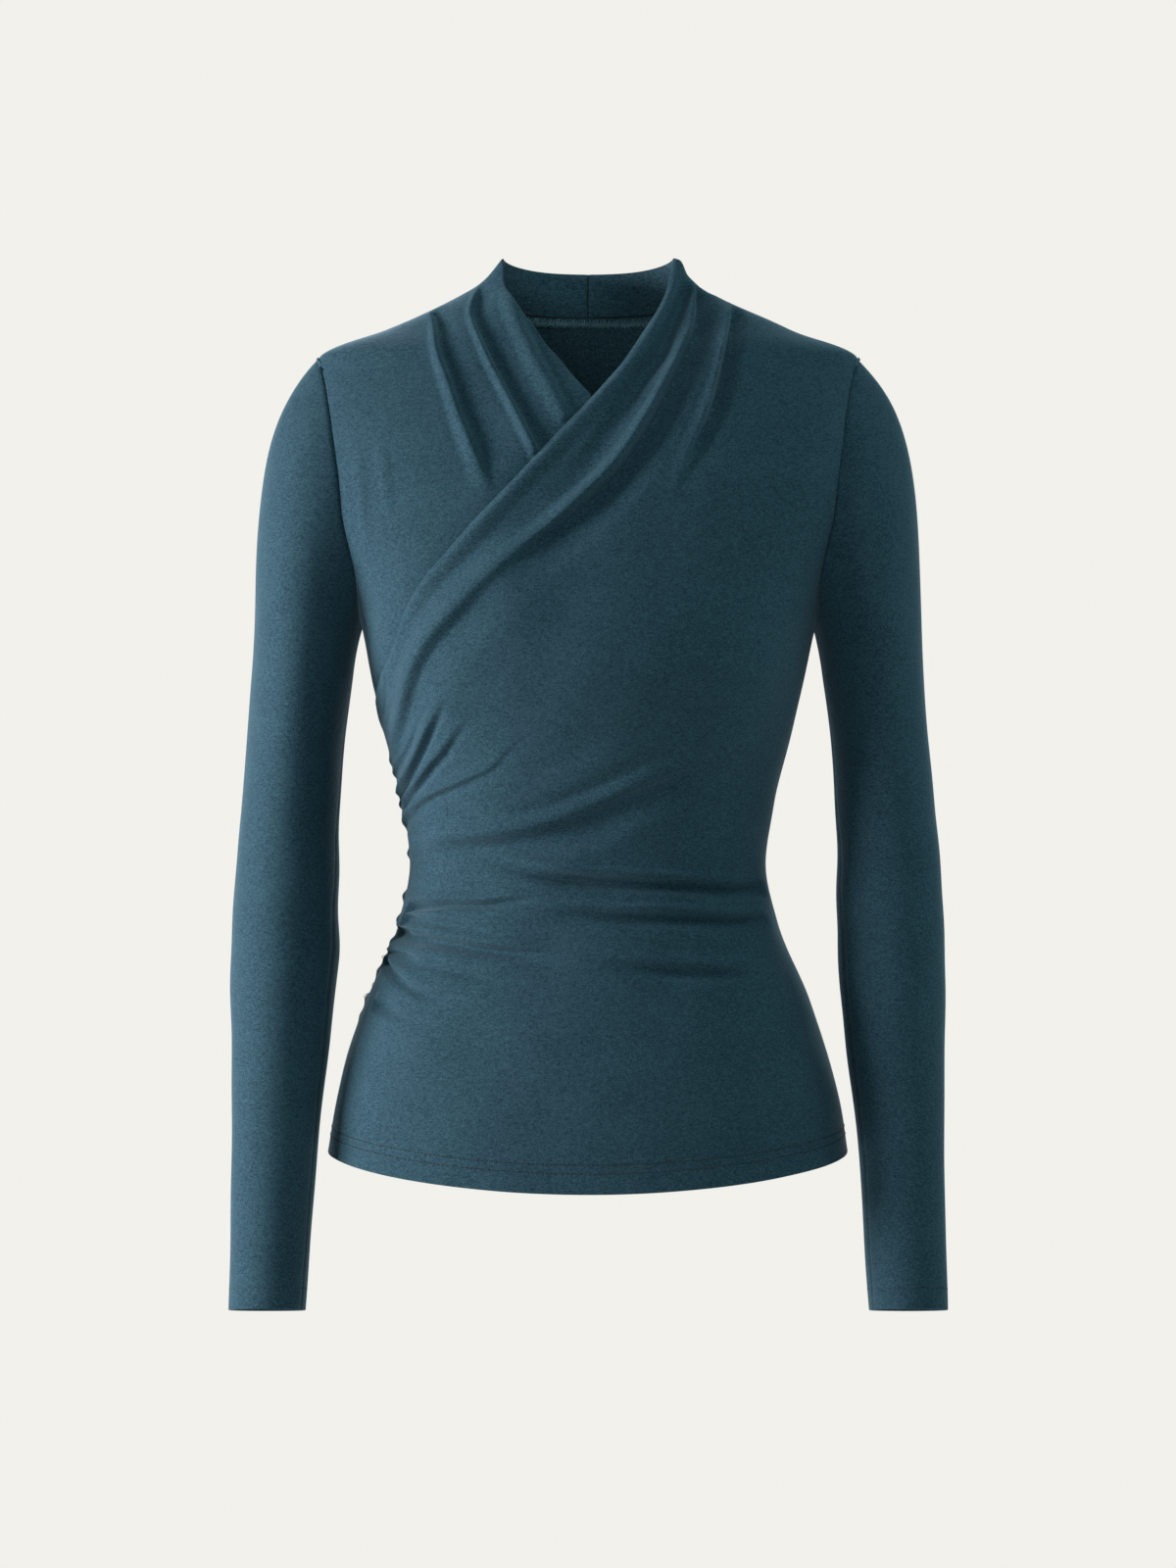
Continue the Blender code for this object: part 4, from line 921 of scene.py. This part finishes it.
def sleeve_seam_turn(share):
    """Where the sleeve's own seam lies: at the underarm, and turning inwards below it."""
    return np.pi - np.radians(23) * smooth_step((share - 1.0) / 0.5)


def sleeve_tube(name, side, around=144):
    """A sleeve from the armhole to the open cuff, a tube with one seam at the underarm."""
    turns = np.arange(around) * 2 * np.pi / around
    cap = 0.06 + 0.94 * np.linspace(0, 1, 57)[1:-1]
    shares = np.concatenate([[0.0, 0.010, 0.022, 0.038, 0.060], cap, 1 + np.linspace(0, 1, 141)])
    turn, share = np.meshgrid(turns, shares)
    base, normals = sleeve(turn, share), sleeve_outward(turn, share)
    along = travelled(base)
    off_seam = np.abs(np.angle(np.exp(1j * (turn - sleeve_seam_turn(share))))) * SLEEVE_RADIUS
    dent = SLEEVE_SEAM_DEPTH * bell(off_seam / 2.6) * smooth_step(along / 4)
    lift = sleeve_relief(base, turn, side) - seam_groove(along) - dent
    outer = base + normals * lift[..., None]
    line, across, inwards = armhole_seam(turns)
    outer[0] = line + across * SEAM_GAP / 2 - inwards * GROOVE_DEPTH
    inner_edge = mirrored(outer[0] - inwards * WALL, side)
    outer = mirrored(outer.reshape(-1, 3), side)
    number = np.arange(turn.size).reshape(turn.shape)
    return shell(name, outer, *both_skins([number], side < 0, tube_quads), number[-1], number[0], inner_edge)


def sleeve_relief(base, turn, side):
    """Soft swells of a sleeve that hangs round nothing, deepest at the inside of the elbow."""
    height = slack(mirrored(base, side) * np.array([1.0, 1.0, 0.55]))
    elbow = np.exp(-(((base[..., 2] + 402) / 60) ** 2)) * (0.5 + 0.5 * np.cos(turn - np.radians(120)))
    return height + 0.9 * elbow * np.sin(base[..., 2] / 9.5 + 1.4 * np.cos(turn) + 0.8 * side)


front_left = crossover_front("front_left_cloth", OVER_EDGE, over_height, 1, OVER_ENDS, 186, 1.5)
front_right = crossover_front("front_right_cloth", UNDER_EDGE, under_height, -1, UNDER_ENDS, 300)
back = back_panel("back_cloth")
sleeve_left = sleeve_tube("sleeve_left_cloth", 1)
sleeve_right = sleeve_tube("sleeve_right_cloth", -1)

# ---- sewing


def sunk(theta, level, height, depth):
    """Points under the cloth at places of theta and level, at a depth below its surface."""
    theta, level = np.broadcast_arrays(theta, level)
    points, normals = torso(theta, level), outward(theta, level)
    return points + normals * (height(points, normals, theta) - depth)[:, None]


def round_neck(margin, count):
    """Angles round the back of the neck, a margin in from the shoulder seams."""
    return np.linspace(np.pi / 2 + margin, 3 * np.pi / 2 - margin, count)


def on_sleeve(turn, share, side, depth):
    """Points under a sleeve's cloth, at a depth below its surface."""
    base, normals = sleeve(turn, share), sleeve_outward(turn, share)
    return mirrored(base + normals * (sleeve_relief(base, turn, side) - depth)[:, None], side)


def seam_lines():
    """The middle of every seam of the body, pulled in with the cloth."""
    deep = GROOVE_DEPTH + 0.4
    centre_back = np.linspace(NECK_SEAM, COLLAR_TOP - 0.6, 24)
    neck = sunk(round_neck(0.01, 120), NECK_SEAM, collar_height, deep)
    lines = [neck, sunk(np.pi, centre_back, collar_height, deep)]
    for side, height in ((1, over_height), (-1, under_height)):
        lines.append(sunk(side * np.pi / 2, np.linspace(NECK_SEAM, SHOULDER_POINT, 60), height, deep))
        line, _, inwards = armhole_seam(np.radians(np.linspace(5, 355, 241)))
        lines.append(mirrored(line - inwards * deep, side))
        lines.append(sunk(side * np.pi / 2, np.linspace(UNDERARM, HEM + 0.8, 240), over_height, deep))
    return lines


def sleeve_seam(side):
    """The sleeve's own seam, from the armhole down the inner arm to the cuff."""
    share = np.linspace(0.03, 1.997, 400)
    return on_sleeve(sleeve_seam_turn(share), share, side, SLEEVE_SEAM_DEPTH + 0.28)


def knotted(line, radius, pitch, depth):
    """A line with the radii of a thread that shows stitch by stitch along it."""
    return line, radius * (1 - depth + depth * np.abs(np.cos(np.pi * travelled(line) / pitch)))


def cut_up(line, stitch, gap, seed):
    """A line cut into stitches of uneven length."""
    way = travelled(line)
    chance, at, pieces = np.random.default_rng(seed), 0.6, []
    while at + stitch < way[-1]:
        length = stitch * chance.uniform(0.75, 1.2)
        piece = at_distance(line, way, np.linspace(at, min(at + length, way[-1]), 4))
        pieces.append(piece + chance.normal(0, 0.05, 3))
        at += length + gap * chance.uniform(0.7, 1.4)
    return pieces


def hem_rows():
    """Two rows of stitches above the hem, round the whole body."""
    rows = []
    for seed, rise in ((7, 11.5), (8, 16.5)):
        for start, end, height in ((-90, 90, over_height), (90, 270, back_height)):
            theta = np.radians(np.linspace(start + 0.7, end - 0.7, 500))
            rows += cut_up(sunk(theta, HEM + rise, height, -0.02), 2.1, 0.9, seed)
    return rows


def cuff_row(side):
    """One fine row of stitches that holds the turned-up cuff, 13 mm from its end."""
    turn = np.linspace(0, 2 * np.pi, 240)
    share_per_mm = 0.04 / np.linalg.norm(sleeve(turn, 1.96) - sleeve(turn, 2.0), axis=1)
    return cut_up(on_sleeve(turn, 2.0 - 13.0 * share_per_mm, side, 0.0), 1.7, 1.4, 21)


def neck_overlock():
    """The overlocked seam allowance inside the back neck, and its looped threads."""
    theta = round_neck(0.05, 420)
    chance = np.random.default_rng(17)
    ragged = np.convolve(chance.normal(0, 1, len(theta) + 8), np.ones(9) / 9, "valid")
    shape = []
    for level, depth in ((0.9, 1.35), (0.9, 1.9), (-1.2, 2.3), (-3.2, 2.2), (-3.6, 1.8), (-3.2, 1.4)):
        drift = ragged * (0.9 if level < -2 else 0.15)
        shape.append(sunk(theta, level + drift, back_height, depth + 0.25 * ragged))
    ring = np.stack(shape, axis=1)
    corner = np.arange(ring[..., 0].size).reshape(ring.shape[:2])
    caps = np.array([[0, 1, 2, 5], [2, 3, 4, 5]])
    faces = np.concatenate([tube_quads(corner)[:, ::-1], caps, (corner[-1][caps])[:, ::-1]])
    loops = []
    for low, high, pitch, start in ((-3.7, 0.6, 1.5, 0.0), (-4.1, -1.2, 1.1, 0.4)):
        arc = theta[0] + (theta[-1] - theta[0]) * np.linspace(0, 1, int(210 / pitch) * 4)
        swing = np.clip(0.5 + 0.62 * np.sin(np.arange(len(arc)) * np.pi / 2 + start), 0, 1)
        level = low + (high - low) * swing + chance.normal(0, 0.28, len(arc))
        depth = np.interp(level, (-4.2, -3.2, -1.2, 0.9), (2.1, 2.5, 2.6, 2.15))
        depth += chance.normal(0, 0.1, len(arc))
        line = sunk(arc + chance.normal(0, 0.003, len(arc)), level, back_height, 0.0)
        loops.append(line - outward(arc, level) * depth[:, None])
    return ring.reshape(-1, 3), faces, loops


def side_loops():
    """Threads of the overlocked side seam that show where the gathers pull it open."""
    bow = np.array([[0, 0, 0], [-0.75, -0.5, 0], [-0.7, -0.9, 0], [0, -0.4, 0]])
    return [
        sunk(-np.pi / 2, level + length * np.array([-0.5, -0.2, 0.2, 0.5]), over_height, 0.0) + bow
        for level, length in ((-459, 3.4), (-466.5, 3.8), (-441, 2.2))
    ]


# Seam thread partly its own dark colour and partly painted shade along the seams' grooves and gaps
seam_thread_painted_dark = thread_material("seam_thread_painted_dark", (0.0035, 0.011, 0.016))
stitch_thread = thread_material("stitch_thread", (0.005, 0.018, 0.027))
looped_thread = thread_material("looped_thread", (0.15, 0.33, 0.38), sheen=0.2)
body_seams = [knotted(line, 0.55, 2.3, 0.35) for line in seam_lines()]
sleeve_seams = [knotted(sleeve_seam(side), 0.6, 2.3, 0.35) for side in (1, -1)]
sewing = threads("seam_sewing", seam_thread_painted_dark, body_seams + sleeve_seams)
collar_line = sunk(np.pi, np.linspace(NECK_SEAM + 0.4, COLLAR_TOP - 1.0, 60), collar_height, WALL + 0.4)
neck_line = sunk(round_neck(0.04, 300), NECK_SEAM + 1.5, collar_height, WALL + 0.3)
inner_lines = [knotted(collar_line, 0.75, 1.5, 0.45), knotted(neck_line, 0.6, 1.9, 0.3)]
inner_sewing = threads("inner_seam_sewing", seam_thread_painted_dark, inner_lines)
fine_rows = side_loops() + cuff_row(1) + cuff_row(-1)
rows = [(line, 0.32) for line in hem_rows()] + [(line, 0.2) for line in fine_rows]
stitches = threads("hem_stitching", stitch_thread, rows)
band_points, band_faces, band_loops = neck_overlock()
# The seam allowance takes the inside cloth, whose lighter colours are painted light
allowance = mesh_object("neck_seam_allowance", band_points, [band_faces], [inside])
overlock = threads("neck_overlock", looped_thread, [(line, 0.3) for line in band_loops])

# Each cut piece with its cloth, the flat size of that in metres and how it is held
CLOTHS = {
    "front_left": (front_left, (0.47, 0.72), "gathered"),
    "front_right": (front_right, (0.40, 0.40), "draped"),
    "back": (back, (0.47, 0.59), "hung"),
    "sleeve_left": (sleeve_left, (0.29, 0.64), "hung"),
    "sleeve_right": (sleeve_right, (0.29, 0.64), "hung"),
}

for cut, (piece, flat, held) in CLOTHS.items():
    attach(piece, "root")
    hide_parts(cut)

for piece in (sewing, inner_sewing, stitches, allowance, overlock):
    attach(piece, "root")

# ---- studio

BACKGROUND = (0.887, 0.879, 0.839, 1)
MIDDLE = Vector((0.0, 0.0, -0.32))
FLOOR_LEVEL, FLOOR_RADIUS, FLOOR_SIDES = -1330.0, 1600.0, 96
CAMERA_DISTANCE, CAMERA_LEVEL, VIEW_WIDTH, SENSOR_WIDTH = 2.4, -0.326, 1.04, 36
# Soft boxes that face the top: azimuth (0 at the camera, positive towards the viewer's right), elevation,
# distance, size, watts, colour
LIGHTS = {
    "key": (-76, 6, 1.9, (1.0, 0.8), 79, (1.0, 0.84, 0.86)),
    "side": (92, 12, 1.9, (0.9, 0.8), 9.5, (0.84, 0.97, 1.0)),
    "inner": (60, 44, 1.9, (0.8, 0.8), 9, (0.88, 0.98, 1.0)),
    "top": (10, 75, 1.9, (0.9, 0.9), 3.5, (0.88, 0.98, 1.0)),
    "front": (-10, 8, 1.9, (0.9, 0.8), 5.2, (0.90, 0.98, 1.0)),
    "rim": (-145, 8, 1.9, (0.8, 0.8), 7, (0.88, 0.97, 1.0)),
    "above": (178, 58, 1.9, (1.1, 0.9), 12, (0.80, 0.95, 1.0)),
    "behind": (165, 12, 2.1, (1.4, 1.2), 14, (1.0, 1.0, 1.0)),
}

scene = bpy.context.scene
scene.view_settings.view_transform = "Standard"
scene.view_settings.look = "None"
scene.world = bpy.data.worlds.new("studio")
scene.world.use_nodes = True
nodes = scene.world.node_tree.nodes
nodes.clear()
around = feed(nodes.new("ShaderNodeBackground"), {"Color": (0.90, 0.95, 1.0, 1), "Strength": 0.02})
seen = feed(nodes.new("ShaderNodeBackground"), {"Color": BACKGROUND, "Strength": 1.0})
in_view = nodes.new("ShaderNodeLightPath").outputs["Is Camera Ray"]
blend = feed(nodes.new("ShaderNodeMixShader"), {0: in_view, 1: around.outputs[0], 2: seen.outputs[0]})
feed(nodes.new("ShaderNodeOutputWorld"), {"Surface": blend.outputs[0]})

for name, (azimuth, elevation, distance, size, watts, colour) in LIGHTS.items():
    turn, rise = np.radians((azimuth, elevation))
    way = Vector((np.sin(turn) * np.cos(rise), -np.cos(turn) * np.cos(rise), np.sin(rise)))
    data = bpy.data.lights.new(name, "AREA")
    data.shape = "RECTANGLE"
    data.size, data.size_y = size
    data.energy, data.color = watts, colour
    light = bpy.data.objects.new(name, data)
    light.location = MIDDLE + way * distance
    light.rotation_euler = (-way).to_track_quat("-Z", "Y").to_euler()
    bpy.context.collection.objects.link(light)

ground, nodes, shader = new_material("pale_floor")
feed(shader, {
    "Base Color": (0.82, 0.81, 0.78, 1),
    "Roughness": 0.9,
    "Emission Color": (0.34, 0.337, 0.32, 1),
    "Emission Strength": nodes.new("ShaderNodeLightPath").outputs["Is Camera Ray"],
})
circle = np.linspace(0, 2 * np.pi, FLOOR_SIDES + 1)[:-1]
rings = [
    np.stack([np.cos(circle) * radius, np.sin(circle) * radius, np.full(FLOOR_SIDES, FLOOR_LEVEL)], axis=-1)
    for radius in (1.0, FLOOR_RADIUS)
]
number = np.arange(2 * FLOOR_SIDES).reshape(2, -1)
floor = mesh_object("floor", np.concatenate(rings), [tube_quads(number)[:, ::-1]], [ground], sharp=None)

camera = bpy.data.objects.new("camera", bpy.data.cameras.new("camera"))
camera.data.lens = SENSOR_WIDTH * CAMERA_DISTANCE / VIEW_WIDTH
camera.location = (0.0, -CAMERA_DISTANCE, CAMERA_LEVEL)
camera.rotation_euler = (np.pi / 2, 0, 0)
bpy.context.collection.objects.link(camera)
scene.camera = camera
